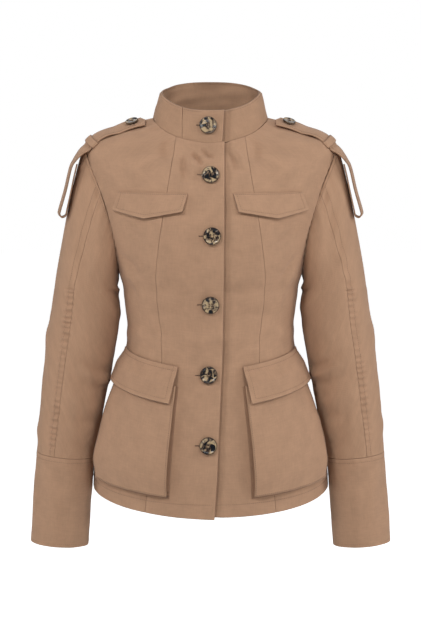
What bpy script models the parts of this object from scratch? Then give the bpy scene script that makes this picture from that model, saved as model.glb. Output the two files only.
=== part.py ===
"""A short fitted field jacket in cotton twill, standing in its worn form with nobody inside.

Frame, in metres: the origin is the middle of the neck opening at the height of the neck
points. The front faces -Y, the wearer's left is +X and +Z is up.
"""

import math

import bmesh
import bpy
import numpy as np
from mathutils import Vector

NAME = "field_jacket"

# Cloth
WALL = 0.0016
COLLAR_WALL = 0.0024
FLAP_WALL = 0.0022
STRAP_WALL = 0.0020
SEAM_GAP = 0.00018
CLEAR = 0.0005

# The body's cross-sections, from the hem up. Heights and depths differ at the front, the
# side and the back; the last columns place the long seams and the edge of the front lap.
LEVEL_COLUMNS = (
    "z_front", "z_side", "z_back", "half_width", "depth_front", "depth_back",
    "seam_front", "seam_back", "lap", "roundness",
)
LEVELS = {
    "hem": (-0.600, -0.577, -0.596, 0.1870, 0.150, 0.128, 0.100, 0.082, 0.0060, 2.25),
    "hip": (-0.540, -0.527, -0.537, 0.1825, 0.146, 0.126, 0.094, 0.078, 0.0105, 2.25),
    "upper_hip": (-0.478, -0.470, -0.475, 0.1690, 0.137, 0.118, 0.087, 0.072, 0.0130, 2.25),
    "under_waist": (-0.416, -0.412, -0.414, 0.1500, 0.123, 0.102, 0.080, 0.066, 0.0160, 2.25),
    "low_waist": (-0.373, -0.371, -0.372, 0.1370, 0.113, 0.092, 0.075, 0.063, 0.0180, 2.25),
    "waist": (-0.333, -0.333, -0.333, 0.1305, 0.108, 0.088, 0.075, 0.062, 0.0190, 2.25),
    "rib": (-0.288, -0.288, -0.288, 0.1350, 0.112, 0.093, 0.081, 0.066, 0.0200, 2.25),
    "armpit": (-0.236, -0.236, -0.236, 0.1445, 0.120, 0.101, 0.083, 0.071, 0.0205, 2.25),
    "chest": (-0.182, -0.175, -0.178, 0.1625, 0.123, 0.107, 0.077, 0.075, 0.0210, 2.15),
    "upper_chest": (-0.132, -0.108, -0.118, 0.1830, 0.116, 0.107, 0.069, 0.072, 0.0212, 2.00),
    "shoulder_tip": (-0.092, -0.041, -0.062, 0.1950, 0.102, 0.098, 0.062, 0.062, 0.0214, 1.80),
    "shoulder": (-0.062, -0.0135, -0.018, 0.1500, 0.089, 0.083, 0.057, 0.052, 0.0214, 1.95),
    "neck": (-0.036, 0.002, 0.013, 0.0895, 0.075, 0.066, 0.0525, 0.040, 0.0214, 2.15),
}
LEVEL_NAMES = list(LEVELS)
LEVEL_TABLE = np.array(list(LEVELS.values()))
ARMPIT = LEVEL_NAMES.index("armpit")
TIP = LEVEL_NAMES.index("shoulder_tip")
NECK = LEVEL_NAMES.index("neck")
DROP = 1.5
BUST_OUT, BUST_X, BUST_Z = 0.009, 0.079, -0.186
BUST_WIDE, BUST_TALL = 0.044, 0.055
UNDERLAP = 0.019
LAP_STEP = 0.0024
LAP_EASE_FROM, LAP_EASE = 0.004, 0.016
ARMHOLE_FRONT = math.radians(24)
ARMHOLE_BACK = math.radians(27)
# The side panels and the sleeves are divided along their length into simpler pieces
PANEL_PARTS = {"lower": (0, 3.5), "middle": (3.5, ARMPIT), "upper": (ARMPIT, NECK)}

# The sleeve's cross-sections, from just under the armhole down to the cuff's edge
ARM_COLUMNS = ("x", "y", "z", "half_width", "half_depth")
ARM = {
    "under_armhole": (0.1935, 0.000, -0.262, 0.0516, 0.0670),
    "biceps": (0.1985, -0.001, -0.313, 0.0545, 0.0630),
    "over_elbow": (0.2063, -0.003, -0.366, 0.0543, 0.0590),
    "elbow": (0.2142, -0.006, -0.417, 0.0521, 0.0550),
    "under_elbow": (0.2216, -0.011, -0.470, 0.0494, 0.0515),
    "cuff_seam": (0.2290, -0.018, -0.525, 0.0458, 0.0465),
    "cuff_middle": (0.2343, -0.025, -0.596, 0.0454, 0.0415),
    "cuff_edge": (0.2394, -0.032, -0.665, 0.0450, 0.0390),
}
ARM_TABLE = np.array(list(ARM.values()))
CUFF_SEAM = list(ARM).index("cuff_seam")
CUFF_EDGE = list(ARM).index("cuff_edge")
HEAD_START, HEAD_END = 0.25, 0.40
SLEEVE_GAP = 0.0010
# The way the head leaves the armhole: all round, and more of it on top, ahead and below
LEAVE = np.array([0.62, 0, -0.72])
LEAVE_TOP = np.array([0.13, 0, 0.06])
LEAVE_AHEAD = np.array([0, -0.28, 0])
LEAVE_BELOW = np.array([0.30, 0, 0.22])
SEAM_ANGLE_FRONT = math.radians(71)
SEAM_ANGLE_BACK = math.radians(250)
ARM_ROWS = 9
ARM_THIRD = CUFF_SEAM / 3
SLEEVE_PARTS = {
    "sleeve_top": {"head": (-1, 0), "upper": (0, ARM_THIRD),
                   "elbow": (ARM_THIRD, 2 * ARM_THIRD), "lower": (2 * ARM_THIRD, CUFF_SEAM)},
    "sleeve_under": {"upper": (-1, ARM_THIRD), "elbow": (ARM_THIRD, 2 * ARM_THIRD),
                     "lower": (2 * ARM_THIRD, CUFF_SEAM)},
}

# The top edge of the collar: heights, half width, depths and roundness
COLLAR_TOP = (0.0147, 0.0435, 0.0588, 0.0790, 0.0620, 0.0660, 2.60)
TAB_SEAM = 0.0430
COLLAR_LAP = 0.0185
COLLAR_UNDERLAP = 0.0170
COLLAR_FOOT = 0.012
COLLAR_EASE_FROM, COLLAR_EASE = 0.06, 0.20

# Flaps and pockets: corners as (distance from the centre, height), on the wearer's left
CHEST_FLAP = {"top_in": (0.0337, -0.1120), "top_out": (0.1398, -0.1100),
              "low_in": (0.0416, -0.1402), "low_out": (0.1473, -0.1376),
              "point": (0.0993, -0.1505)}
HIP_FLAP = {"top_in": (18, -0.375), "top_out": (79, -0.354),
            "low_in": (20, -0.432), "low_out": (79, -0.408)}
HIP_POCKET = {"top_in": (18, -0.404), "top_out": (76, -0.382),
              "low_in": (18, -0.569), "low_out": (68, -0.554)}
POCKET_OUT_TOP, POCKET_OUT_LOW = 0.0068, 0.0122
POCKET_FOOT = 0.0011
# Shares of the pocket's size: how far its walls spread, and how thick they are across and down
POCKET_SPREAD, POCKET_WALL_ACROSS, POCKET_WALL_DOWN = 0.010, 0.014, 0.009
POCKET_EASE, HIP_FLAP_EASE = 0.8, 0.55
CHEST_FLAP_LIFT, HIP_FLAP_LIFT = 0.0025, 0.0005

# Shoulder straps
STRAP_HALF = 0.018
STRAP_POINT, STRAP_POINT_FROM, STRAP_POINT_EASE = 0.15, 11.6, 0.2
STRAP_RISE, STRAP_RISE_FROM, STRAP_RISE_EASE = 0.0022, 11.0, 0.4
STRAP_LEVELS = (11.74, 10.04)
STRAP_ANGLES = (math.radians(78), math.radians(83))
STRAP_HANG = {  # x, y, z, then the turn to the front, the tilt (degrees) and the round (millimetres)
    "tip": (0.2013, -0.0123, -0.0462, 16.5, 10, 3.4), "over": (0.2070, -0.0143, -0.0538, 14, 5, 1.8),
    "upper": (0.2126, -0.0155, -0.0630, 11.5, 2, 0.6), "middle": (0.2186, -0.0160, -0.0755, 10, 0, 0),
    "lower": (0.2269, -0.0160, -0.1095, 10, 0, 0), "low": (0.2356, -0.0160, -0.1390, 10, 0, 0),
    "fold_out": (0.2369, -0.0160, -0.1470, 9, 0, 0), "fold": (0.2326, -0.0160, -0.1523, 7, 0, 0),
    "fold_in": (0.2256, -0.0160, -0.1494, 5, 0, 0), "under_low": (0.2230, -0.0160, -0.1400, 4, 0, 0),
    "under": (0.2164, -0.0160, -0.1110, 4, 0, 0), "under_middle": (0.2114, -0.0160, -0.0880, 4, 0, 0),
    "under_top": (0.2068, -0.0160, -0.0695, 4, 0, 0),
}
CARRIER_LEVELS = (10.12, 10.35)
CARRIER_REACH = 0.0235
CARRIER_CLEAR, CARRIER_SIDE, CARRIER_EASE = 0.0008, 0.0020, 0.0004

# Buttons: centre across the front and height
BUTTON_RADIUS, BUTTON_RIM, BUTTON_THICK = 0.0134, 0.0098, 0.0034
STRAP_BUTTON_RADIUS = 0.0100
HOLE_RADIUS, HOLE_APART = 0.0011, 0.0024
FRONT_BUTTONS = {"2": (0.0002, -0.0841), "3": (0.0025, -0.1748), "4": (0.0000, -0.2795),
                 "5": (-0.0027, -0.3871), "6": (-0.0033, -0.4915)}
COLLAR_BUTTON = (-0.0027, 0.52)
STRAP_BUTTON_LEVEL = 11.42
FRONT_BUTTON_LIFT, COLLAR_BUTTON_LIFT, STRAP_BUTTON_LIFT = 0.0008, 0.0018, 0.0010

# Mesh points along and across each piece
LOW_ROWS, ARMHOLE_ROWS, HIGH_ROWS = 13, 9, 5
SIDE_COLUMNS, BACK_COLUMNS, RIGHT_COLUMNS, LEFT_COLUMNS = 6, 9, 7, 8
HEAD_ROWS, SLEEVE_COLUMNS, CUFF_ROWS, CUFF_COLUMNS = 9, 12, 4, 24
COLLAR_ROWS, TAB_COLUMNS, BAND_COLUMNS = 4, 6, 34
FLAP_COLUMNS, CHEST_FLAP_ROWS, HIP_FLAP_ROWS = 11, 5, 7
POCKET_ROWS, POCKET_COLUMNS = 8, 9
STRAP_ROWS, STRAP_COLUMNS, CARRIER_ROWS, CARRIER_COLUMNS = 11, 5, 3, 7
HOLE_SIDES, BUTTON_STEPS = 8, 20
SKIN_STEP, ANGLE_STEP = 1e-3, 0.02

COLOURS = {  # base colour, roughness
    "cotton_twill": ((0.420, 0.268, 0.168), 0.90),
    "collar_twill": ((0.400, 0.255, 0.160), 0.90),
    "mottled_button": ((0.115, 0.052, 0.022), 0.22),
}


def smooth(t):
    t = np.clip(t, 0, 1)
    return t * t * (3 - 2 * t)


def unit(v):
    return v / np.linalg.norm(v, axis=-1, keepdims=True)


def curve_through(table, at):
    """The table's columns at a fractional row, on a curve that passes through every row."""
    at = np.clip(np.asarray(at, float), 0, len(table) - 1)
    row = np.minimum(at.astype(int), len(table) - 2)
    t = (at - row)[..., None]
    before, here = table[np.maximum(row - 1, 0)], table[row]
    after, later = table[row + 1], table[np.minimum(row + 2, len(table) - 1)]
    straight = 2 * here + (after - before) * t
    bend = (2 * before - 5 * here + 4 * after - later) * t**2
    ease = (3 * here - before - 3 * after + later) * t**3
    return 0.5 * (straight + bend + ease)


def section(angle, heights, half_width, depths, roundness):
    """A point of a level section: angle 0 is the front, a quarter turn is the side."""
    power = 2 / roundness
    s, c = np.sin(angle), np.cos(angle)
    front = c > 0
    side = heights[1]
    end = np.where(front, heights[0], heights[2])
    x = half_width * np.sign(s) * np.abs(s) ** power
    y = -np.where(front, depths[0], depths[1]) * np.sign(c) * np.abs(c) ** power
    z = side + (end - side) * np.abs(c) ** DROP
    return np.stack(np.broadcast_arrays(x, y, z), -1)


def body_skin(angle, level):
    cut = np.moveaxis(curve_through(LEVEL_TABLE, level), -1, 0)
    point = section(angle, cut[0:3], cut[3], cut[4:6], cut[9])
    over = (np.abs(point[..., 0]) - BUST_X) / BUST_WIDE
    up = (point[..., 2] - BUST_Z) / BUST_TALL
    point[..., 1] -= BUST_OUT * np.exp(-(over**2) - up**2) * np.maximum(np.cos(angle), 0)
    return point


def collar_skin(angle, up):
    foot = body_skin(angle, NECK)
    top = section(angle, COLLAR_TOP[0:3], COLLAR_TOP[3], COLLAR_TOP[4:6], COLLAR_TOP[6])
    return foot + (top - foot) * np.asarray(up, float)[..., None]


def moved_out(skin, angle, along, out):
    """Points of a skin, moved out along its normal."""
    angle, along, out = np.broadcast_arrays(angle, along, out)
    step = SKIN_STEP
    across = skin(angle + step, along) - skin(angle - step, along)
    up = skin(angle, along + step) - skin(angle, along - step)
    return skin(angle, along) + unit(np.cross(across, up)) * out[..., None]


def column(level, name):
    return curve_through(LEVEL_TABLE, level)[..., LEVEL_COLUMNS.index(name)]


def angle_of(x, level):
    """The section angle, on the front, of a point this far from the centre."""
    ratio = np.clip(np.abs(x) / column(level, "half_width"), 0, 1)
    return np.sign(x) * np.arcsin(ratio ** (column(level, "roundness") / 2))


def level_of(angle, z):
    """The level at which the front's skin reaches this height."""
    angle, z = np.broadcast_arrays(np.asarray(angle, float), np.asarray(z, float))
    low, high = np.zeros(z.shape), np.full(z.shape, float(NECK))
    for _ in range(30):
        middle = (low + high) / 2
        under = body_skin(angle, middle)[..., 2] < z
        low, high = np.where(under, middle, low), np.where(under, high, middle)
    return low


def edge_angle(level, front):
    """Where a panel ends: at the side seam, the armhole or the shoulder seam."""
    t = np.clip((level - ARMPIT) / (TIP - ARMPIT), 0, 1)
    reach = ARMHOLE_FRONT if front else -ARMHOLE_BACK
    return math.pi / 2 - reach * np.sqrt(np.maximum(1 - (2 * t - 1) ** 2, 0))


def drawn_in(grid, gap, sides):
    """The grid with its named sides pulled in, so that it stops short of its neighbours."""
    grid = grid.copy()
    if "first" in sides:
        grid[:, 0] += unit(grid[:, 1] - grid[:, 0]) * gap
    if "last" in sides:
        grid[:, -1] += unit(grid[:, -2] - grid[:, -1]) * gap
    if "top" in sides:
        grid[-1] += unit(grid[-2] - grid[-1]) * gap
    if "bottom" in sides:
        grid[0] += unit(grid[1] - grid[0]) * gap
    return grid


def material(name):
    colour, roughness = COLOURS[name]
    made = bpy.data.materials.get(name) or bpy.data.materials.new(name)
    made.use_nodes = True
    shader = made.node_tree.nodes["Principled BSDF"]
    shader.inputs["Base Color"].default_value = (*colour, 1)
    shader.inputs["Roughness"].default_value = roughness
    shader.inputs["Metallic"].default_value = 0
    return made


def cloth(name, outer, inner, side=1, ring=False, finish="cotton_twill"):
    """One closed piece between two grids of points, mirrored for the wearer's right."""
    rows, columns = outer.shape[:2]
    points = np.concatenate([outer.reshape(-1, 3), inner.reshape(-1, 3)])
    points[:, 0] *= side
    index = np.arange(rows * columns).reshape(rows, columns)
    if ring:
        index = np.hstack([index, index[:, :1]])
    under = index + rows * columns
    faces = []
    for a, b, c, d in zip(
        index[:-1, :-1].ravel(), index[:-1, 1:].ravel(), index[1:, 1:].ravel(), index[1:, :-1].ravel()
    ):
        faces.append((a, b, c, d))
        faces.append(tuple(n + rows * columns for n in (a, d, c, b)))
    edges = [(index[0], under[0]), (under[-1], index[-1])]
    if not ring:
        edges += [(under[:, 0], index[:, 0]), (index[:, -1], under[:, -1])]
    for near, far in edges:
        faces += list(zip(near[1:], near[:-1], far[:-1], far[1:]))
    mesh = bpy.data.meshes.new(name)
    mesh.from_pydata(points.tolist(), [], [tuple(int(n) for n in face) for face in faces])
    shape = bmesh.new()
    shape.from_mesh(mesh)
    bmesh.ops.recalc_face_normals(shape, faces=shape.faces)
    shape.to_mesh(mesh)
    shape.free()
    mesh.materials.append(material(finish))
    made = bpy.data.objects.new(name, mesh)
    JACKET.objects.link(made)
    return made


def body_rows():
    low = np.linspace(0, ARMPIT, LOW_ROWS)
    arc = np.linspace(0, math.pi, ARMHOLE_ROWS)[1:]
    middle = ARMPIT + (TIP - ARMPIT) * (1 - np.cos(arc)) / 2
    high = np.linspace(TIP, NECK, HIGH_ROWS)[1:]
    return np.concatenate([low, middle, high])[:, None]


def part_rows(rows, ends):
    """Which rows lie between a part's two ends."""
    return np.flatnonzero((rows[:, 0] > ends[0] - 1e-6) & (rows[:, 0] < ends[1] + 1e-6))


def body_piece(name, angles, levels, sides, side=1, sink=0.0):
    outer = moved_out(body_skin, angles, levels, -sink)
    inner = moved_out(body_skin, angles, levels, -sink - WALL)
    gap = SEAM_GAP
    return cloth(name, drawn_in(outer, gap, sides), drawn_in(inner, gap, sides), side)


def body_panels():
    levels = body_rows()
    share = np.linspace(0, 1, SIDE_COLUMNS)
    front_seam = angle_of(column(levels, "seam_front"), levels)
    front_edge = edge_angle(levels, True)
    back_seam = math.pi - angle_of(column(levels, "seam_back"), levels)
    back_edge = edge_angle(levels, False)
    panels = {
        "front_side": front_seam + (front_edge - front_seam) * share,
        "back_side": back_edge + (back_seam - back_edge) * share,
    }
    for side, word in ((1, "left"), (-1, "right")):
        for panel, angles in panels.items():
            for part, ends in PANEL_PARTS.items():
                rows = part_rows(levels, ends)
                sides = "first last top" if part == "lower" else "first last top bottom"
                body_piece(f"{panel}_{part}_{word}", angles[rows], levels[rows], sides, side)
    across = np.linspace(-1, 1, BACK_COLUMNS) * column(levels, "seam_back")
    body_piece("back_centre", math.pi - angle_of(across, levels), levels, "first last top")
    seam = column(levels, "seam_front")
    lap = column(levels, "lap")
    x = -lap + (seam + lap) * np.linspace(0, 1, RIGHT_COLUMNS)
    body_piece("front_centre_right", angle_of(x, levels), levels, "last top", -1)
    x = -UNDERLAP + (seam + UNDERLAP) * np.linspace(0, 1, LEFT_COLUMNS)
    sink = LAP_STEP * (1 - smooth((x - lap - LAP_EASE_FROM) / LAP_EASE))
    body_piece("front_centre_left", angle_of(x, levels), levels, "last top", 1, sink)


def armhole(angle):
    """The armhole's edge round the sleeve: angle 0 is the shoulder tip, a quarter turn the front."""
    reach = np.where(np.sin(angle) > 0, ARMHOLE_FRONT, ARMHOLE_BACK)
    level = ARMPIT + (TIP - ARMPIT) * (1 + np.cos(angle)) / 2
    return body_skin(math.pi / 2 - reach * np.sin(angle), level)


def arm_ring(angle, at):
    cut = curve_through(ARM_TABLE, at)
    ahead = curve_through(ARM_TABLE, np.minimum(at + 0.01, CUFF_EDGE))
    behind = curve_through(ARM_TABLE, np.maximum(at - 0.01, 0))
    down = unit((ahead - behind)[..., :3] * (1, 0, 1))
    out = np.stack([-down[..., 2], 0 * down[..., 0], down[..., 0]], -1)
    spread = cut[..., 3:4] * np.cos(angle)[..., None] * out
    depth = cut[..., 4:5] * np.sin(angle)[..., None] * np.array([0, -1, 0])
    return cut[..., :3] + spread + depth, down


def sleeve_skin(angle, along):
    """The sleeve: along runs from -1 at the armhole, through 0, to the arm's sections."""
    angle, along = np.broadcast_arrays(angle, along)
    ring, down = arm_ring(angle, np.maximum(along, 0))
    start = armhole(angle)
    top = np.cos(angle)[..., None]
    ahead = np.sin(angle)[..., None]
    leave = unit(LEAVE + top * LEAVE_TOP + ahead * LEAVE_AHEAD + np.minimum(top, 0) * LEAVE_BELOW)
    start = start + leave * SLEEVE_GAP
    chord = np.linalg.norm(ring - start, axis=-1, keepdims=True)
    t = np.clip(along + 1, 0, 1)[..., None]
    head = (
        (2 * t**3 - 3 * t**2 + 1) * start
        + (t**3 - 2 * t**2 + t) * leave * chord * HEAD_START
        + (3 * t**2 - 2 * t**3) * ring
        + (t**3 - t**2) * down * chord * HEAD_END
    )
    return np.where(along[..., None] < 0, head, ring)


def sleeve_point(angle, along, out):
    angle, along = np.broadcast_arrays(angle, along)
    step = SKIN_STEP
    low = np.maximum(along - step, -1)
    across = sleeve_skin(angle - step, along) - sleeve_skin(angle + step, along)
    down = sleeve_skin(angle, along + step) - sleeve_skin(angle, low)
    return sleeve_skin(angle, along) + unit(np.cross(down, across)) * np.asarray(out)[..., None]


def sleeves():
    head = np.linspace(-1, 0, HEAD_ROWS)
    arm = np.linspace(0, CUFF_SEAM, ARM_ROWS + 1)[1:]
    along = np.concatenate([head, arm])[:, None]
    cuff = np.linspace(CUFF_SEAM, CUFF_EDGE, CUFF_ROWS)[:, None]
    turn = 2 * math.pi
    pieces = {
        "sleeve_top": np.linspace(SEAM_ANGLE_BACK - turn, SEAM_ANGLE_FRONT, SLEEVE_COLUMNS),
        "sleeve_under": np.linspace(SEAM_ANGLE_FRONT, SEAM_ANGLE_BACK, SLEEVE_COLUMNS),
    }
    round_cuff = np.linspace(0, turn, CUFF_COLUMNS + 1)[:-1]
    for side, word in ((1, "left"), (-1, "right")):
        for name, angles in pieces.items():
            for part, ends in SLEEVE_PARTS[name].items():
                rows = along[part_rows(along, ends)]
                sides = "first last top" if ends[0] < 0 else "first last top bottom"
                outer = drawn_in(sleeve_point(angles, rows, 0.0), SEAM_GAP, sides)
                inner = drawn_in(sleeve_point(angles, rows, -WALL), SEAM_GAP, sides)
                cloth(f"{name}_{part}_{word}", outer, inner, side)
        outer = sleeve_point(round_cuff, cuff, 0.0)
        inner = sleeve_point(round_cuff, cuff, -COLLAR_WALL)
        outer, inner = drawn_in(outer, SEAM_GAP, "bottom"), drawn_in(inner, SEAM_GAP, "bottom")
        cloth(f"cuff_{word}", outer, inner, side, ring=True)


def collar_piece(name, angles, sink=0.0, sides=""):
    up = np.linspace(COLLAR_FOOT, 1, COLLAR_ROWS)[:, None]
    outer = moved_out(collar_skin, angles, up, -sink)
    inner = moved_out(collar_skin, angles, up, -sink - COLLAR_WALL)
    gap = SEAM_GAP
    outer, inner = drawn_in(outer, gap, sides), drawn_in(inner, gap, sides)
    return cloth(name, outer, inner, finish="collar_twill")


def collar():
    tab_seam = -angle_of(TAB_SEAM, NECK)
    lap = angle_of(COLLAR_LAP, NECK)
    under = -angle_of(COLLAR_UNDERLAP, NECK)
    collar_piece("collar_tab", np.linspace(tab_seam, lap, TAB_COLUMNS), sides="first")
    angles = np.linspace(under, 2 * math.pi + tab_seam, BAND_COLUMNS)
    sink = (COLLAR_WALL + CLEAR) * (1 - smooth((angles - lap - COLLAR_EASE_FROM) / COLLAR_EASE))
    collar_piece("collar_band", angles, sink, sides="last")


def between(corners, across, down):
    """A point of a four-cornered piece, as (across, down) shares, from its top inner corner."""
    top_in, top_out = np.array(corners["top_in"]), np.array(corners["top_out"])
    low_in, low_out = np.array(corners["low_in"]), np.array(corners["low_out"])
    across, down = across[..., None], down[..., None]
    top = top_in + (top_out - top_in) * across
    low = low_in + (low_out - low_in) * across
    return top + (low - top) * down


def chest_flaps():
    across, down = np.meshgrid(np.linspace(0, 1, FLAP_COLUMNS), np.linspace(0, 1, CHEST_FLAP_ROWS))
    spot = between(CHEST_FLAP, across, down)
    low_in, low_out = np.array(CHEST_FLAP["low_in"]), np.array(CHEST_FLAP["low_out"])
    point = np.array(CHEST_FLAP["point"])
    share = (point[0] - low_in[0]) / (low_out[0] - low_in[0])
    edge = low_in[1] + (low_out[1] - low_in[1]) * share
    peak = np.minimum(across / share, (1 - across) / (1 - share))
    spot[..., 1] += (point[1] - edge) * peak * down
    x, z = spot[..., 0], spot[..., 1]
    level = level_of(0.5 + 0 * x, z)
    for _ in range(3):
        level = level_of(angle_of(x, level), z)
    angle = angle_of(x, level)
    lift = CLEAR + CHEST_FLAP_LIFT * down**1.5
    outer = moved_out(body_skin, angle, level, lift + FLAP_WALL)
    inner = moved_out(body_skin, angle, level, lift)
    for side, word in ((1, "left"), (-1, "right")):
        cloth(f"chest_flap_{word}", outer, inner, side)


def on_front(corners, across, down):
    """Angle and level of a point of a piece whose corners are (degrees, height)."""
    spot = between(corners, across, down)
    angle = np.radians(spot[..., 0])
    return angle, level_of(angle, spot[..., 1])


def hip_flaps():
    across, down = np.meshgrid(np.linspace(0, 1, FLAP_COLUMNS), np.linspace(0, 1, HIP_FLAP_ROWS))
    angle, level = on_front(HIP_FLAP, across, down)
    lift = POCKET_FOOT + (POCKET_OUT_TOP + CLEAR) * smooth(down / HIP_FLAP_EASE) + HIP_FLAP_LIFT * down
    outer = moved_out(body_skin, angle, level, lift + FLAP_WALL)
    inner = moved_out(body_skin, angle, level, lift)
    for side, word in ((1, "left"), (-1, "right")):
        cloth(f"hip_flap_{word}", outer, inner, side)


def hip_pockets():
    """A bellows pocket: a face held off the panel by folded walls on three sides."""
    spread, wall_u, wall_v = POCKET_SPREAD, POCKET_WALL_ACROSS, POCKET_WALL_DOWN
    u, v = np.linspace(0, 1, POCKET_COLUMNS), np.linspace(0, 1, POCKET_ROWS)
    u_out = np.concatenate([[-spread], u, [1 + spread]])
    u_in = np.concatenate([[wall_u - spread], wall_u + u * (1 - 2 * wall_u), [1 - wall_u + spread]])
    v_out = np.concatenate([v, [1 + spread]])
    v_in = np.concatenate([v * (1 - wall_v), [1 - wall_v + spread]])
    edge = np.zeros((len(v_out), len(u_out)), bool)
    edge[:, 0] = edge[:, -1] = edge[-1] = True
    grids = []
    for u, v, wall in ((u_out, v_out, 0.0), (u_in, v_in, WALL)):
        across, down = np.meshgrid(u, v)
        angle, level = on_front(HIP_POCKET, across, down)
        face = POCKET_OUT_TOP + (POCKET_OUT_LOW - POCKET_OUT_TOP) * smooth(down / POCKET_EASE)
        lift = np.where(edge, POCKET_FOOT, face - wall)
        grids.append(moved_out(body_skin, angle, level, lift))
    for side, word in ((1, "left"), (-1, "right")):
        cloth(f"hip_pocket_{word}", grids[0], grids[1], side)


def strap_rows(levels, across, out):
    """Rows of a strip on the shoulder: its middle leans forward as it nears the neck."""
    share = (levels - STRAP_LEVELS[1]) / (STRAP_LEVELS[0] - STRAP_LEVELS[1])
    centre = STRAP_ANGLES[1] + (STRAP_ANGLES[0] - STRAP_ANGLES[1]) * share
    near = body_skin(centre - ANGLE_STEP, levels)
    far = body_skin(centre + ANGLE_STEP, levels)
    per_metre = 2 * ANGLE_STEP / np.linalg.norm(far - near, axis=-1)
    angle = centre[:, None] + across * per_metre[:, None]
    near_end = smooth((levels - STRAP_POINT_FROM) / STRAP_POINT_EASE)[:, None]
    level = levels[:, None] - STRAP_POINT * np.abs(across) / STRAP_HALF * near_end
    return moved_out(body_skin, angle, level, out)


def strap_hang(across):
    """A row of points across the strip for each place named in the table of its hanging loop."""
    x, y, z, turn, tilt, bow = np.array(list(STRAP_HANG.values())).T
    turn, tilt = np.radians(turn), np.radians(tilt)
    centre = np.stack([x, y, z], -1)
    way = np.stack([np.sin(turn) * np.cos(tilt), np.cos(turn) * np.cos(tilt), np.sin(tilt)], -1)
    outward = unit(np.cross(np.gradient(centre, axis=0), way))
    fall = bow[:, None] * 0.001 * (across / STRAP_HALF) ** 2
    return centre[:, None] + across[:, None] * way[:, None] - fall[..., None] * outward[:, None]


def straps():
    across = np.linspace(-STRAP_HALF, STRAP_HALF, STRAP_COLUMNS)
    levels = np.linspace(STRAP_LEVELS[0], STRAP_LEVELS[1], STRAP_ROWS)
    lift = CLEAR + STRAP_RISE * smooth((levels - STRAP_RISE_FROM) / STRAP_RISE_EASE)[:, None]
    low = strap_rows(levels, across, lift)
    high = strap_rows(levels, across, lift + STRAP_WALL)
    knots = np.concatenate([high[-2:], strap_hang(across)])
    fine = np.linspace(1, len(knots) - 1, 2 * len(knots) - 3)[1:]
    loop = curve_through(knots.reshape(len(knots), -1), fine).reshape(len(fine), -1, 3)
    top = np.concatenate([high, loop])
    outward = unit(np.cross(np.gradient(top, axis=0), np.gradient(top, axis=1)))
    bottom = top - outward * STRAP_WALL
    bottom[:len(low)] = low
    for side, word in ((1, "left"), (-1, "right")):
        cloth(f"shoulder_strap_{word}", top, bottom, side)


def carriers():
    levels = np.linspace(CARRIER_LEVELS[1], CARRIER_LEVELS[0], CARRIER_ROWS)
    over = CLEAR + STRAP_WALL + CARRIER_CLEAR
    top = np.linspace(-1, 1, CARRIER_COLUMNS) * (STRAP_HALF + CARRIER_EASE)
    foot = np.array([CARRIER_REACH, STRAP_HALF + CARRIER_SIDE])
    across = np.concatenate([-foot, top, foot[::-1]])
    lift = np.concatenate([[CLEAR, CLEAR], np.full(len(top), over), [CLEAR, CLEAR]])
    inner = strap_rows(levels, across, lift)
    outer = strap_rows(levels, across, lift + WALL)
    for side, word in ((1, "left"), (-1, "right")):
        cloth(f"strap_carrier_{word}", outer, inner, side)


def sewing_holes(made):
    """Cuts the four holes, each with a cutter that is a child of the button."""
    for number, (dx, dy) in enumerate(((1, 1), (-1, 1), (-1, -1), (1, -1)), 1):
        bpy.ops.mesh.primitive_cylinder_add(
            vertices=HOLE_SIDES, radius=HOLE_RADIUS, depth=4 * BUTTON_THICK,
            location=(dx * HOLE_APART, dy * HOLE_APART, 0),
        )
        cutter = bpy.context.object
        cutter.name = f"{made.name}_hole_{number}"
        for held in list(cutter.users_collection):
            held.objects.unlink(cutter)
        CUTTERS.objects.link(cutter)
        cutter.parent = made
        cutter.hide_render = True
        cutter.display_type = "WIRE"
        cut = made.modifiers.new(f"hole_{number}", "BOOLEAN")
        cut.solver = "EXACT"
        cut.operation = "DIFFERENCE"
        cut.object = cutter


def button(name, radius, place, normal, lift):
    """A round button with a raised rim, turned about its own axis and set on the cloth."""
    scale = radius / BUTTON_RADIUS
    thick = BUTTON_THICK * scale**0.5
    rim = BUTTON_RIM * scale
    profile = (
        (0, 0), (rim, 0), (radius * 0.93, thick * 0.20), (radius, thick * 0.55),
        (radius * 0.90, thick), (rim, thick * 0.72), (0, thick * 0.66),
    )
    mesh = bpy.data.meshes.new(name)
    points = [(r, 0, z) for r, z in profile]
    mesh.from_pydata(points, [(n, n + 1) for n in range(len(points) - 1)], [])
    mesh.materials.append(material("mottled_button"))
    made = bpy.data.objects.new(name, mesh)
    JACKET.objects.link(made)
    turn = made.modifiers.new("turn", "SCREW")
    turn.steps = turn.render_steps = BUTTON_STEPS
    turn.use_merge_vertices = True
    turn.merge_threshold = 1e-5
    turn.use_normal_calculate = True
    sewing_holes(made)
    made.location = Vector(place) + Vector(normal) * lift
    made.rotation_euler = Vector(normal).to_track_quat("Z", "Y").to_euler()
    return made


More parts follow.
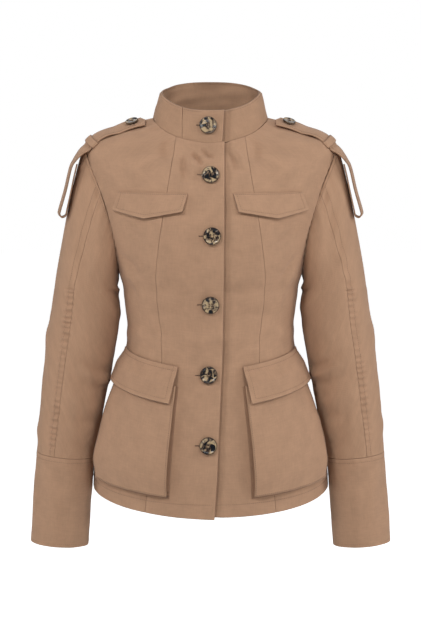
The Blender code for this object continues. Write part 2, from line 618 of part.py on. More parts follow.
def buttons():
    for number, (x, z) in FRONT_BUTTONS.items():
        level = level_of(0.0, z)
        angle = angle_of(np.float64(x), level)
        near = moved_out(body_skin, angle, level, 0.0)
        far = moved_out(body_skin, angle, level, 1.0)
        button(f"front_button_{number}", BUTTON_RADIUS, near, far - near, FRONT_BUTTON_LIFT)
    angle = angle_of(np.float64(COLLAR_BUTTON[0]), NECK)
    up = np.float64(COLLAR_BUTTON[1])
    near = moved_out(collar_skin, angle, up, 0.0)
    far = moved_out(collar_skin, angle, up, 1.0)
    button("front_button_1", BUTTON_RADIUS, near, far - near, COLLAR_BUTTON_LIFT)
    levels = np.array([STRAP_BUTTON_LEVEL])
    near = strap_rows(levels, np.zeros(1), CLEAR + STRAP_RISE + STRAP_WALL)[0, 0]
    far = strap_rows(levels, np.zeros(1), 1.0)[0, 0]
    for side, word in ((1, "left"), (-1, "right")):
        turned = np.array([side, 1, 1])
        normal = unit(far - near) * turned
        button(f"strap_button_{word}", STRAP_BUTTON_RADIUS, near * turned, normal, STRAP_BUTTON_LIFT)


for old in list(bpy.data.objects):
    bpy.data.objects.remove(old, do_unlink=True)
JACKET = bpy.data.collections.new(NAME)
CUTTERS = bpy.data.collections.new("cutters")
bpy.context.scene.collection.children.link(JACKET)
bpy.context.scene.collection.children.link(CUTTERS)
CUTTERS.hide_render = True
body_panels()
sleeves()
collar()
chest_flaps()
hip_flaps()
hip_pockets()
straps()
carriers()
buttons()
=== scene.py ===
"""A short fitted field jacket in cotton twill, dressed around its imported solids.

Every cloth piece is a thin closed shell on its solid's form, with its folds, seam puckers
and topstitching. Sizes are in metres, and +X is the wearer's left.
"""

import math

import bpy
import numpy as np
from bpy.props import FloatProperty, FloatVectorProperty, PointerProperty
from mathutils import Matrix, Vector


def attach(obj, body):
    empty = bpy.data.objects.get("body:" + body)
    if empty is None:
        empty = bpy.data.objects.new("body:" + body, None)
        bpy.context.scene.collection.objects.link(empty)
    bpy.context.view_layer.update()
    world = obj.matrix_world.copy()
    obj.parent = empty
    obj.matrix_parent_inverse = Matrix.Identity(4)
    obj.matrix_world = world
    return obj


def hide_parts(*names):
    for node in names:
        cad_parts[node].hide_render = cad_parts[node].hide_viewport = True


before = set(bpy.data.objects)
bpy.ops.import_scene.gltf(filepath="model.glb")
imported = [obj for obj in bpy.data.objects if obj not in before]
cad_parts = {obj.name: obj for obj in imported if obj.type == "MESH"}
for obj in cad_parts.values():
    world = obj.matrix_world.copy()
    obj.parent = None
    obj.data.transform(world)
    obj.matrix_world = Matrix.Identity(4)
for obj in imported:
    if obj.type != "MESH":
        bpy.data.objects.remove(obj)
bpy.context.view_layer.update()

bl_info = {
    "name": "Field jacket",
    "version": (1, 0, 0),
    "blender": (4, 5, 0),
    "location": "3D View > Sidebar > Jacket",
    "description": "Builds a fitted cotton twill field jacket, piece by piece",
    "category": "Object",
}

TURN = 2 * math.pi
MM = 0.001
PIECE = "_made"
SIDES = ((1, "left"), (-1, "right"))

# How round a piece's rims are, full for a free edge and less where it is sewn to the next piece
RIM_PULL, RIM_SINK = 0.30, 0.12
SEAM, FIRM = 0.35, 0.12
# Width of the edge band whose colour is lightened, partly as worn cloth and partly as a painted highlight,
# and darkened as seam lines and painted shade
EDGE_WEAR_AND_SHADE = 0.006
# Rows of the mesh beside a seam, as distances from it, and the shallow valley that the seam makes
SEAM_STEPS = (0.0, 0.0007, 0.0016, 0.0032)
SEAM_DIP, SEAM_DIP_WIDTH = 0.00030, 0.0010
# How often a search by halves and a search by turns go round, and the step for a normal
HALVINGS, TURNS, NEAR = 30, 3, 1e-3

# The body's cross-sections, as in the part's source
LEVEL_COLUMNS = (
    "z_front", "z_side", "z_back", "half_width", "depth_front", "depth_back",
    "seam_front", "seam_back", "lap", "roundness",
)
LEVELS = {
    "hem": (-0.600, -0.577, -0.596, 0.1870, 0.150, 0.128, 0.100, 0.082, 0.0060, 2.25),
    "hip": (-0.540, -0.527, -0.537, 0.1825, 0.146, 0.126, 0.094, 0.078, 0.0105, 2.25),
    "upper_hip": (-0.478, -0.470, -0.475, 0.1690, 0.137, 0.118, 0.087, 0.072, 0.0130, 2.25),
    "under_waist": (-0.416, -0.412, -0.414, 0.1500, 0.123, 0.102, 0.080, 0.066, 0.0160, 2.25),
    "low_waist": (-0.373, -0.371, -0.372, 0.1370, 0.113, 0.092, 0.075, 0.063, 0.0180, 2.25),
    "waist": (-0.333, -0.333, -0.333, 0.1305, 0.108, 0.088, 0.075, 0.062, 0.0190, 2.25),
    "rib": (-0.288, -0.288, -0.288, 0.1350, 0.112, 0.093, 0.081, 0.066, 0.0200, 2.25),
    "armpit": (-0.236, -0.236, -0.236, 0.1445, 0.120, 0.101, 0.083, 0.071, 0.0205, 2.25),
    "chest": (-0.182, -0.175, -0.178, 0.1625, 0.123, 0.107, 0.077, 0.075, 0.0210, 2.15),
    "upper_chest": (-0.132, -0.108, -0.118, 0.1830, 0.116, 0.107, 0.069, 0.072, 0.0212, 2.00),
    "shoulder_tip": (-0.092, -0.041, -0.062, 0.1950, 0.102, 0.098, 0.062, 0.062, 0.0214, 1.80),
    "shoulder": (-0.062, -0.0135, -0.018, 0.1500, 0.089, 0.083, 0.057, 0.052, 0.0214, 1.95),
    "neck": (-0.036, 0.002, 0.013, 0.0895, 0.075, 0.066, 0.0525, 0.040, 0.0214, 2.15),
}
LEVEL_NAMES = list(LEVELS)
LEVEL_TABLE = np.array(list(LEVELS.values()))
ARMPIT = LEVEL_NAMES.index("armpit")
TIP = LEVEL_NAMES.index("shoulder_tip")
NECK = LEVEL_NAMES.index("neck")
DROP = 1.5
BUST_OUT, BUST_X, BUST_Z = 0.009, 0.079, -0.186
BUST_WIDE, BUST_TALL = 0.044, 0.055
UNDERLAP = 0.019
LAP_STEP, LAP_EASE = 0.0024, (0.002, 0.010)
LAP_HOLLOW, LAP_HOLLOW_WIDTH = 0.0030, 0.0085
LAP_EDGE_WIDTH, LAP_GAPE, BUTTON_GAPE = 0.009, 0.0005, 0.0007
FRONT_DROP, FRONT_DROP_LEVELS = 0.0035, 0.9
SIDE_PANEL, BACK_PANEL, CENTRE_PANEL = 0.115, 0.150, 0.105
ROW_ANGLE = 1.1
GIRTH = 0.15
ARMHOLE_FRONT = math.radians(24)
ARMHOLE_BACK = math.radians(27)

# The sleeve's cross-sections: x, y, z, half width and half depth
ARM = {
    "under_armhole": (0.1935, 0.000, -0.262, 0.0516, 0.0670),
    "biceps": (0.1985, -0.001, -0.313, 0.0545, 0.0630),
    "over_elbow": (0.2063, -0.003, -0.366, 0.0543, 0.0590),
    "elbow": (0.2142, -0.006, -0.417, 0.0521, 0.0550),
    "under_elbow": (0.2216, -0.011, -0.470, 0.0494, 0.0515),
    "cuff_seam": (0.2290, -0.018, -0.525, 0.0458, 0.0465),
    "cuff_middle": (0.2343, -0.025, -0.596, 0.0454, 0.0415),
    "cuff_edge": (0.2394, -0.032, -0.665, 0.0450, 0.0390),
}
ARM_TABLE = np.array(list(ARM.values()))
CUFF_SEAM = list(ARM).index("cuff_seam")
CUFF_EDGE = list(ARM).index("cuff_edge")
HEAD_START, HEAD_END = 0.25, 0.40
SLEEVE_GAP = 0.0002
SEAM_ANGLE_FRONT = math.radians(71)
SEAM_ANGLE_BACK = math.radians(250)
ARM_STEP = 0.052
ARM_ROUND = 0.052
HEAD_LENGTH, ARM_LENGTH, SLEEVE_PANEL = 0.10, 0.40, 0.17
CUFF_LENGTH, CUFF_ROUND, CUFF_STEP = 0.142, 0.285, 0.07
# Which way the sleeve leaves the armhole: everywhere, and more at its top, front and underside
LEAVE, LEAVE_TOP = np.array([0.62, 0, -0.72]), np.array([0.13, 0, 0.06])
LEAVE_FRONT, LEAVE_UNDER = np.array([0, -0.28, 0]), np.array([0.30, 0, 0.22])

# The collar, flaps and pockets
COLLAR_TOP = (0.0147, 0.0435, 0.0588, 0.0790, 0.0620, 0.0660, 2.60)
TAB_SEAM = 0.0430
COLLAR_LAP = 0.0185
COLLAR_UNDERLAP = 0.0170
COLLAR_HIGH, COLLAR_ROUND, COLLAR_LENGTH, TAB_WIDTH = 0.060, 0.075, 0.46, 0.062
COLLAR_TUCK = 0.02
CHEST_FLAP = {"top_in": (0.0337, -0.1120), "top_out": (0.1398, -0.1100),
              "low_in": (0.0416, -0.1402), "low_out": (0.1473, -0.1376),
              "point": (0.0993, -0.1505)}
HIP_FLAP = {"top_in": (18, -0.375), "top_out": (79, -0.354),
            "low_in": (20, -0.432), "low_out": (79, -0.408)}
HIP_POCKET = {"top_in": (18, -0.404), "top_out": (76, -0.382),
              "low_in": (18, -0.569), "low_out": (68, -0.554)}
CHEST_FLAP_SIZE, CHEST_STITCH = (0.106, 0.034), 0.0055
HIP_FLAP_SIZE, HIP_STITCH = (0.13, 0.057), 0.0065
POCKET_SIZE, POCKET_STITCH = (0.15, 0.175), 0.0022
POCKET_OUT_TOP, POCKET_OUT_LOW = 0.0068, 0.0122
POCKET_FOOT = 0.0011
POCKET_CLOSE = 0.0050
# The bellows' fold beside the pocket's face: how far out sideways, and share of the face's lift
BELLOWS = ((-0.0030, 0.00), (-0.0022, 0.06), (0.0020, 0.13), (0.0058, 0.24), (0.0082, 0.40),
           (0.0084, 0.58), (0.0064, 0.74), (0.0028, 0.88), (0.0002, 0.96), (0.0000, 1.00))

# The shoulder straps
STRAP_HALF, STRAP_STITCH = 0.018, 0.0045
STRAP_COLUMNS, STRAP_ROWS, LOOP_ROWS = 15, 50, 120
STRAP_BOW, STRAP_BOW_LEAN = 0.0020, 0.6
STRAP_POINT, STRAP_POINT_FROM, STRAP_POINT_EASE = 0.15, 11.6, 0.2
STRAP_RISE, STRAP_RISE_FROM = 0.0022, 11.0
STRAP_LEVELS = (11.74, 10.04)
STRAP_ANGLES = (math.radians(78), math.radians(83))
STRAP_HANG = {
    "tip": (0.2013, -0.0123, -0.0462, 16.5, 10, 3.4), "over": (0.2070, -0.0143, -0.0538, 14, 5, 1.8),
    "upper": (0.2126, -0.0155, -0.0630, 11.5, 2, 0.6), "middle": (0.2186, -0.0160, -0.0755, 10, 0, 0),
    "lower": (0.2269, -0.0160, -0.1095, 10, 0, 0), "low": (0.2356, -0.0160, -0.1390, 10, 0, 0),
    "fold_out": (0.2369, -0.0160, -0.1470, 9, 0, 0), "fold": (0.2326, -0.0160, -0.1523, 7, 0, 0),
    "fold_in": (0.2256, -0.0160, -0.1494, 5, 0, 0), "under_low": (0.2230, -0.0160, -0.1400, 4, 0, 0),
    "under": (0.2164, -0.0160, -0.1110, 4, 0, 0), "under_middle": (0.2114, -0.0160, -0.0880, 4, 0, 0),
    "under_top": (0.2068, -0.0160, -0.0695, 4, 0, 0),
}
CARRIER_LEVELS = (10.12, 10.35)
CARRIER_CLEAR, CARRIER_EASE = 0.0008, 0.0004
CARRIER_FOOT = (0.0024, 0.0022, 0.0018, 0.0012)
CARRIER_FALL = (0.0, 0.30, 0.65, 0.90)

# Buttons: distance from the centre across the front, and height
FRONT_BUTTONS = {2: (0.0002, -0.0841), 3: (0.0025, -0.1748), 4: (0.0000, -0.2795),
                 5: (-0.0027, -0.3871), 6: (-0.0033, -0.4915)}
COLLAR_BUTTON = (-0.0027, 0.52)
BUTTON_SPACING = 0.1019
STRAP_BUTTON_LEVEL = 11.42

# A button's turned steps, as shares of its radius and its thickness
BUTTON_STEPS = ((0.16, 0), (0.14, -0.26), (0.06, -0.03))
BUTTON_BEVEL = 0.22
BUTTON_LIFTS = {"collar": 0.0018, "front": 0.0011, "strap": 0.0013}
# Where a button's rim of painted shade starts, and how far it fades in, as shares of its radius
RIM_FROM, RIM_EASE = 0.86, 0.08
HOLE_LIP = 0.0005
# A stitch's rings: place along its half length, whether it is round there, and rise in radii
STITCH_RINGS = ((-1, False, -0.5), (-0.62, True, 0.35), (0.62, True, 0.35), (1, False, -0.5))

# Soft swells of the cloth, as height, length and random seed
BODY_SWELLS = ((0.00055, 0.075, 5), (0.00022, 0.028, 8))
SLEEVE_SWELLS = ((0.00060, 0.070, 21), (0.00024, 0.026, 22))
COLLAR_SWELLS = ((0.0007, 0.060, 31), (0.0003, 0.020, 32))
COLLAR_BACK_SWELL = (0.0030, 0.034, 33)
POCKET_SWELL, POCKET_RIPPLE = (0.0008, 0.09, 41), (0.0003, 0.03, 42)
LAP_SWELL = (0.45, 0.085, 12)
SWELL_WAVES, SWELL_SPREAD = 9, (0.7, 1.6)

# Puckers beside a seam, as pitch, width, height and seed
ARMHOLE_PUCKERS = (0.011, 0.006, 0.00035, 3)
HEAD_PUCKERS = (0.0105, 1.0, 0.00050, 4.4)
CUFF_PUCKERS = (0.012, 1.0, 0.00022, 5.0)
# The sleeve seams' puckers: angle, the side that is topstitched, height and seed
SLEEVE_PUCKER_PITCH, SLEEVE_PUCKER_WIDTH = 0.0095, 0.0070
SLEEVE_PUCKERS = (
    (SEAM_ANGLE_FRONT, -1, 0.00105, 1.3),
    (SEAM_ANGLE_BACK - TURN, 1, 0.00045, 2.1),
    (SEAM_ANGLE_BACK, 1, 0.00045, 2.1),
)
PUCKER_SHIFTS = ((0.9, 61, 1), (0.6, 143, 2))
PUCKER_STRENGTH, PUCKER_SWING = 0.65, (0.35, 37, 3)
FOLD_FADE = 0.8

# Folds on the body, as bent lines of (x, height) with a width and a depth in millimetres.
# A negative depth is a trough. On the back, x is still the wearer's side.
FRONT_FOLDS = (
    (((-0.030, -0.050), (-0.020, -0.058), (-0.012, -0.070)), 3.6, -3.2),
    (((-0.034, -0.058), (-0.028, -0.072), (-0.023, -0.090)), 5.0, 2.2),
    (((-0.041, -0.054), (-0.040, -0.072), (-0.037, -0.094)), 4.4, -2.4),
    (((-0.014, -0.044), (-0.004, -0.054), (0.008, -0.058)), 3.4, -2.4),
    (((0.026, -0.047), (0.034, -0.060), (0.037, -0.078)), 4.0, -2.6),
    (((0.036, -0.046), (0.046, -0.058), (0.051, -0.078)), 5.0, 1.4),
    (((-0.078, -0.032), (-0.070, -0.047), (-0.062, -0.062)), 6.0, -3.2),
    (((0.078, -0.032), (0.070, -0.046), (0.064, -0.064)), 6.0, -3.0),
    (((-0.100, -0.050), (-0.112, -0.078), (-0.120, -0.104)), 12.0, 1.2),
    (((0.102, -0.048), (0.114, -0.076), (0.124, -0.104)), 12.0, 1.1),
    (((-0.132, -0.160), (-0.116, -0.172), (-0.098, -0.184)), 8.0, -1.1),
    (((0.134, -0.158), (0.118, -0.174), (0.098, -0.190)), 8.0, -1.2),
    (((-0.142, -0.205), (-0.120, -0.222), (-0.100, -0.250)), 9.0, -1.5),
    (((0.140, -0.200), (0.120, -0.226), (0.102, -0.256)), 9.0, -1.4),
    (((-0.136, -0.226), (-0.118, -0.250), (-0.100, -0.282)), 9.0, 1.3),
    (((0.134, -0.224), (0.116, -0.256), (0.100, -0.290)), 9.0, 1.1),
    (((-0.100, -0.300), (-0.070, -0.292), (-0.030, -0.296)), 11.0, -1.0),
    (((0.098, -0.306), (0.066, -0.296), (0.030, -0.300)), 11.0, -0.9),
    (((-0.108, -0.330), (-0.078, -0.326), (-0.040, -0.334)), 9.0, -1.2),
    (((0.108, -0.334), (0.080, -0.330), (0.044, -0.338)), 9.0, -1.1),
    (((-0.094, -0.346), (-0.060, -0.350), (-0.026, -0.362)), 8.0, 1.0),
    (((0.096, -0.350), (0.064, -0.352), (0.028, -0.360)), 8.0, 0.9),
    (((-0.060, -0.262), (-0.034, -0.256), (-0.008, -0.266)), 9.0, 0.9),
    (((0.058, -0.268), (0.036, -0.262), (0.024, -0.270)), 8.0, -0.8),
    (((-0.036, -0.204), (-0.022, -0.214), (-0.006, -0.216)), 8.0, -0.9),
    (((0.028, -0.196), (0.040, -0.204), (0.050, -0.206)), 7.0, -0.9),
    (((-0.040, -0.410), (-0.018, -0.424), (0.002, -0.432)), 9.0, -1.0),
    (((-0.036, -0.440), (-0.014, -0.452), (0.006, -0.458)), 8.0, 0.8),
    (((0.022, -0.420), (0.036, -0.432), (0.046, -0.450)), 8.0, -0.9),
    (((-0.030, -0.500), (-0.012, -0.520), (0.004, -0.528)), 9.0, -0.9),
    (((0.026, -0.500), (0.034, -0.525), (0.040, -0.555)), 9.0, 1.0),
    (((-0.034, -0.530), (-0.036, -0.556), (-0.034, -0.585)), 9.0, 0.9),
)
BACK_FOLDS = (
    (((-0.070, -0.010), (-0.050, -0.034), (-0.020, -0.046)), 9.0, -1.4),
    (((0.072, -0.012), (0.050, -0.036), (0.022, -0.050)), 9.0, -1.3),
    (((-0.040, -0.030), (0.000, -0.038), (0.044, -0.028)), 10.0, 1.0),
    (((-0.150, -0.120), (-0.130, -0.160), (-0.118, -0.210)), 12.0, -1.8),
    (((0.152, -0.118), (0.132, -0.162), (0.120, -0.214)), 12.0, -1.7),
    (((-0.136, -0.150), (-0.116, -0.196), (-0.104, -0.240)), 10.0, 1.2),
    (((0.138, -0.154), (0.118, -0.200), (0.104, -0.246)), 10.0, 1.1),
    (((-0.120, -0.306), (-0.080, -0.300), (-0.030, -0.310)), 10.0, -1.6),
    (((0.118, -0.312), (0.078, -0.304), (0.024, -0.314)), 10.0, -1.5),
    (((-0.100, -0.330), (-0.050, -0.336), (0.010, -0.330)), 10.0, 1.2),
    (((0.104, -0.346), (0.060, -0.350), (0.014, -0.346)), 10.0, -1.3),
    (((-0.110, -0.356), (-0.070, -0.362), (-0.030, -0.366)), 9.0, -1.2),
    (((-0.060, -0.250), (-0.020, -0.262), (0.030, -0.256)), 12.0, -1.0),
    (((-0.100, -0.420), (-0.110, -0.480), (-0.116, -0.560)), 14.0, 1.6),
    (((0.100, -0.430), (0.112, -0.490), (0.118, -0.570)), 14.0, 1.5),
    (((-0.030, -0.430), (-0.034, -0.500), (-0.030, -0.580)), 14.0, -1.4),
    (((0.040, -0.440), (0.046, -0.510), (0.050, -0.585)), 14.0, -1.5),
)
# Folds on a sleeve, as bent lines of (degrees round from the outer side, place along the arm)
SLEEVE_FOLDS = (
    (((150, -0.55), (190, -0.30), (230, -0.10)), 9.0, -2.0),
    (((120, -0.35), (160, 0.05), (205, 0.30)), 8.0, -1.8),
    (((110, 0.10), (150, 0.55), (200, 0.75)), 9.0, 1.4),
    (((60, -0.60), (88, -0.30), (120, -0.10)), 10.0, -1.6),
    (((20, -0.80), (52, -0.50), (70, -0.15)), 12.0, 1.3),
    (((-60, -0.70), (-30, -0.40), (-20, 0.10)), 13.0, -1.4),
    (((90, 1.90), (130, 2.25), (185, 2.35)), 8.0, -1.9),
    (((80, 2.55), (125, 2.80), (190, 2.90)), 9.0, -1.8),
    (((95, 2.25), (140, 2.55), (190, 2.62)), 8.0, 1.5),
    (((70, 3.15), (120, 3.40), (180, 3.45)), 9.0, 1.3),
    (((60, 3.60), (110, 3.85), (170, 3.80)), 9.0, -1.4),
    (((230, 2.30), (265, 2.10), (300, 2.20)), 9.0, -1.6),
    (((225, 2.75), (260, 2.95), (305, 2.90)), 9.0, -1.6),
    (((240, 3.40), (280, 3.20), (320, 3.30)), 10.0, 1.3),
    (((-30, 1.20), (10, 1.60), (40, 2.20)), 14.0, 1.1),
    (((10, 2.50), (36, 3.10), (52, 3.90)), 13.0, -1.0),
    (((100, 4.35), (135, 4.60), (180, 4.70)), 8.0, -1.2),
    (((-20, 4.10), (16, 4.45), (50, 4.70)), 11.0, 0.9),
    (((215, 4.20), (250, 4.50), (290, 4.60)), 9.0, -1.2),
)
CUFF_FOLDS = (
    (((100, 5.25), (120, 5.80), (126, 6.60)), 9.0, 1.0),
    (((30, 5.30), (44, 5.90), (40, 6.70)), 12.0, -0.9),
    (((200, 5.20), (214, 5.90), (220, 6.70)), 10.0, -1.1),
    (((290, 5.30), (300, 5.90), (296, 6.60)), 10.0, 0.9),
)

# A long panel stands for several solids, one for each part of its length
PARTS = {
    "front_side": ("lower", "middle", "upper"),
    "back_side": ("lower", "middle", "upper"),
    "sleeve_top": ("head", "upper", "elbow", "lower"),
    "sleeve_under": ("upper", "elbow", "lower"),
}


def factor(name, description, default):
    """A plain number that can be changed in the panel."""
    return FloatProperty(name=name, description=description, default=default)


def size_of(name, description, default):
    """A length that can be changed in the panel."""
    return FloatProperty(name=name, description=description, default=default, unit="LENGTH")


def tint(name, description, default):
    """A colour that can be changed in the panel."""
    return FloatVectorProperty(name=name, description=description, default=default, subtype="COLOR")


class JacketCloth(bpy.types.PropertyGroup):
    wall: size_of("Twill", "Thickness of one sewn layer", 0.0016)
    double_wall: size_of("Double twill", "Thickness of the collar and cuffs", 0.0024)
    flap_wall: size_of("Flaps", "Thickness of the flaps", 0.0022)
    strap_wall: size_of("Straps", "Thickness of the shoulder straps", 0.0020)
    clear: size_of("Clearance", "Least gap between stacked pieces", 0.0005)
    mesh_step: size_of("Mesh step", "Spacing of the cloth's mesh", 0.0026)
    folds: factor("Folds", "Strength of the folds", 2.0)
    colour: tint("Twill colour", "Tan of the body cloth", (0.431, 0.257, 0.160))
    collar_colour: tint("Collar colour", "Tan of the collar cloth", (0.410, 0.244, 0.151))


class JacketSewing(bpy.types.PropertyGroup):
    pitch: size_of("Pitch", "Distance from stitch to stitch", 0.0032)
    stitch: size_of("Stitch", "Length of one stitch", 0.0026)
    thread: size_of("Thread", "Radius of the thread", 0.00031)
    colour: tint("Thread colour", "Colour of the sewing thread", (0.240, 0.140, 0.085))
    hole_colour: tint("Buttonhole colour", "Colour of the buttonhole thread", (0.150, 0.085, 0.048))


class JacketButtons(bpy.types.PropertyGroup):
    radius: size_of("Radius", "Radius of a front button", 0.0134)
    thick: size_of("Thickness", "Thickness of a front button", 0.0034)
    strap_radius: size_of("Strap radius", "Radius of a strap button", 0.0100)
    hole: size_of("Hole", "Radius of a sewing hole", 0.00125)
    hole_apart: size_of("Hole place", "Distance of a hole from the middle, each way", 0.0021)
    dark: tint("Dark", "Dark of the mottled resin", (0.008, 0.010, 0.013))
    brown: tint("Brown", "Brown of the mottled resin", (0.062, 0.036, 0.024))
    grey: tint("Grey", "Grey of the mottled resin", (0.200, 0.145, 0.098))
    cream: tint("Cream", "Cream of the mottled resin", (0.470, 0.345, 0.200))


class JacketStage(bpy.types.PropertyGroup):
    floor_height: size_of("Floor", "Height of the floor", -1.10)
    floor_radius: size_of("Floor radius", "Radius of the floor", 12.0)
    floor_colour: tint("Floor colour", "Colour of the floor", (0.86, 0.86, 0.86))
    floor_glow: factor("Floor glow", "How bright the floor looks by itself", 0.92)
    ambient: factor("Ambient", "Strength of the light from all round", 0.10)
    camera_distance: size_of("Camera distance", "Distance to the origin", 2.8)
    camera_tilt: factor("Camera tilt", "How far the camera looks down, in degrees", 6.28)
    lens: factor("Lens", "Focal length in millimetres", 101.75)


# The place that the studio's soft lights point at, and each light's name, place, size and power
LIT_PLACE = (0, 0, -0.30)
LIGHTS = (
    ("left_high", (-1.0, -1.6, 1.1), (0.5, 0.4), 16.0),
    ("right_high", (1.0, -1.6, 1.1), (0.5, 0.4), 10.2),
    ("left_side", (-2.0, -0.5, 0.1), (1.0, 1.4), 13.5),
    ("right_side", (2.0, -0.5, 0.1), (1.0, 1.4), 18.8),
    ("left_low", (-0.9, -1.7, -0.9), (0.5, 0.4), 1.3),
    ("right_low", (0.9, -1.7, -0.9), (0.5, 0.4), 2.6),
    ("close", (0.1, -1.1, 0.35), (0.3, 0.25), 1.4),
    ("top", (0.0, 0.1, 1.9), (0.9, 0.7), 7.0),
    ("back", (0.0, 1.8, 1.0), (2.0, 1.4), 12.0),
)


def cloth_set():
    return bpy.context.scene.jacket_cloth


def smooth(t):
    t = np.clip(t, 0, 1)
    return t * t * (3 - 2 * t)


def hump(apart, width):
    """A soft bump: 1 in its middle, and nearly gone at twice its width."""
    return np.exp(-((apart / width) ** 2))


def unit(v):
    return v / np.maximum(np.linalg.norm(v, axis=-1, keepdims=True), 1e-12)


def curve_through(table, at):
    """The table's columns at a fractional row, on a curve that passes through every row."""
    at = np.clip(np.asarray(at, float), 0, len(table) - 1)
    row = np.minimum(at.astype(int), len(table) - 2)
    t = (at - row)[..., None]
    before, here = table[np.maximum(row - 1, 0)], table[row]
    after, later = table[row + 1], table[np.minimum(row + 2, len(table) - 1)]
    straight = 2 * here + (after - before) * t
    bend = (2 * before - 5 * here + 4 * after - later) * t**2
    ease = (3 * here - before - 3 * after + later) * t**3
    return 0.5 * (straight + bend + ease)


def section(angle, heights, half_width, depths, roundness):
    """A point of a level section: angle 0 is the front, a quarter turn is the side."""
    power = 2 / roundness
    s, c = np.sin(angle), np.cos(angle)
    front = c > 0
    end = np.where(front, heights[0], heights[2])
    x = half_width * np.sign(s) * np.abs(s) ** power
    y = -np.where(front, depths[0], depths[1]) * np.sign(c) * np.abs(c) ** power
    z = heights[1] + (end - heights[1]) * np.abs(c) ** DROP
    return np.stack(np.broadcast_arrays(x, y, z), -1)


def body_skin(angle, level):
    cut = np.moveaxis(curve_through(LEVEL_TABLE, level), -1, 0)
    point = section(angle, cut[0:3], cut[3], cut[4:6], cut[9])
    over = (np.abs(point[..., 0]) - BUST_X) / BUST_WIDE
    up = (point[..., 2] - BUST_Z) / BUST_TALL
    point[..., 1] -= BUST_OUT * np.exp(-(over**2) - up**2) * np.maximum(np.cos(angle), 0)
    return point


def collar_skin(angle, up):
    foot = body_skin(angle, NECK)
    top = section(angle, COLLAR_TOP[0:3], COLLAR_TOP[3], COLLAR_TOP[4:6], COLLAR_TOP[6])
    return foot + (top - foot) * np.asarray(up, float)[..., None]


def moved_out(skin, angle, along, out):
    """Points of a skin, moved out along its normal."""
    angle, along, out = np.broadcast_arrays(angle, along, out)
    across = skin(angle + NEAR, along) - skin(angle - NEAR, along)
    up = skin(angle, along + NEAR) - skin(angle, along - NEAR)
    return skin(angle, along) + unit(np.cross(across, up)) * out[..., None]


def column(level, name):
    return curve_through(LEVEL_TABLE, level)[..., LEVEL_COLUMNS.index(name)]


def angle_of(x, level):
    """The section angle, on the front, of a point this far from the centre."""
    ratio = np.clip(np.abs(x) / column(level, "half_width"), 0, 1)
    return np.sign(x) * np.arcsin(ratio ** (column(level, "roundness") / 2))


def level_of(angle, z):
    """The level at which the skin reaches this height."""
    angle, z = np.broadcast_arrays(np.asarray(angle, float), np.asarray(z, float))
    low, high = np.zeros(z.shape), np.full(z.shape, float(NECK))
    for _ in range(HALVINGS):
        middle = (low + high) / 2
        under = body_skin(angle, middle)[..., 2] < z
        low, high = np.where(under, middle, low), np.where(under, high, middle)
    return low


def spot_on_front(x, z):
    """Angle and level of a front point, from its distance across and its height."""
    level = level_of(0.5 + 0 * x, z)
    for _ in range(TURNS):
        level = level_of(angle_of(x, level), z)
    return angle_of(x, level), level


def edge_angle(level, front):
    """Where a panel ends: at the side seam, the armhole or the shoulder seam."""
    t = np.clip((level - ARMPIT) / (TIP - ARMPIT), 0, 1)
    reach = ARMHOLE_FRONT if front else -ARMHOLE_BACK
    return math.pi / 2 - reach * np.sqrt(np.maximum(1 - (2 * t - 1) ** 2, 0))


def waves(u, v, size, seed):
    """A soft uneven swell, between -1 and 1, that never repeats across a piece."""
    pick = np.random.RandomState(seed)
    total = np.zeros(np.broadcast(u, v).shape)
    for _ in range(SWELL_WAVES):
        turn = pick.uniform(0, TURN)
        span = size * pick.uniform(*SWELL_SPREAD)
        shift = pick.uniform(0, TURN)
        total = total + np.sin((u * math.cos(turn) + v * math.sin(turn)) * TURN / span + shift)
    return total / SWELL_WAVES


def swells(u, v, *kinds):
    """The height of several swells, each given as height, length and random seed."""
    return sum(height * waves(u, v, size, seed) for height, size, seed in kinds)


def fold_heights(u, v, folds):
    """Height of the folds at points (u, v): each is a soft trough or ridge on a bent line."""
    u, v = np.broadcast_arrays(u, v)
    total = np.zeros(u.shape)
    for path, width, depth in folds:
        path = np.array(path)
        spans = np.linalg.norm(np.diff(path, axis=0), axis=1)
        start = np.concatenate([[0], np.cumsum(spans)])
        nearest, share = np.full(u.shape, np.inf), np.zeros(u.shape)
        for a, b, span, begun in zip(path[:-1], path[1:], spans, start):
            way = (b - a) / span
            along = np.clip((u - a[0]) * way[0] + (v - a[1]) * way[1], 0, span)
            apart = np.hypot(u - a[0] - way[0] * along, v - a[1] - way[1] * along)
            share = np.where(apart < nearest, (begun + along) / start[-1], share)
            nearest = np.minimum(apart, nearest)
        total += depth * MM * np.sin(math.pi * share) ** FOLD_FADE * hump(nearest, width * MM)
    return total


def puckered(apart, along, pitch, width, height, seed):
    """Short uneven ripples across a seam that fade with distance from it."""
    phase = TURN * along / pitch
    for much, often, shift in PUCKER_SHIFTS:
        phase = phase + much * np.sin(along * often + shift * seed)
    swing, often, shift = PUCKER_SWING
    strength = PUCKER_STRENGTH + swing * np.sin(along * often + shift * seed)
    return height * strength * np.sin(phase) * hump(apart, width)


def on_girth(folds, back):
    """The folds' lines turned from (x, height) to (girth, height)."""
    placed = []
    for path, width, depth in folds:
        spots = []
        for x, z in path:
            angle, _ = spot_on_front(np.float64(x), np.float64(z))
            angle = math.copysign(math.pi, x if x else 1) - angle if back else angle
            spots.append((float(angle) * GIRTH, z))
        placed.append((tuple(spots), width, depth))
    return placed


FRONT_LINES = on_girth(FRONT_FOLDS, False)
BACK_LINES = on_girth(BACK_FOLDS, True)
ARM_LINES = [
    (tuple((math.radians(turned) * ARM_ROUND, at * ARM_STEP) for turned, at in path), width, depth)
    for path, width, depth in SLEEVE_FOLDS + CUFF_FOLDS
]


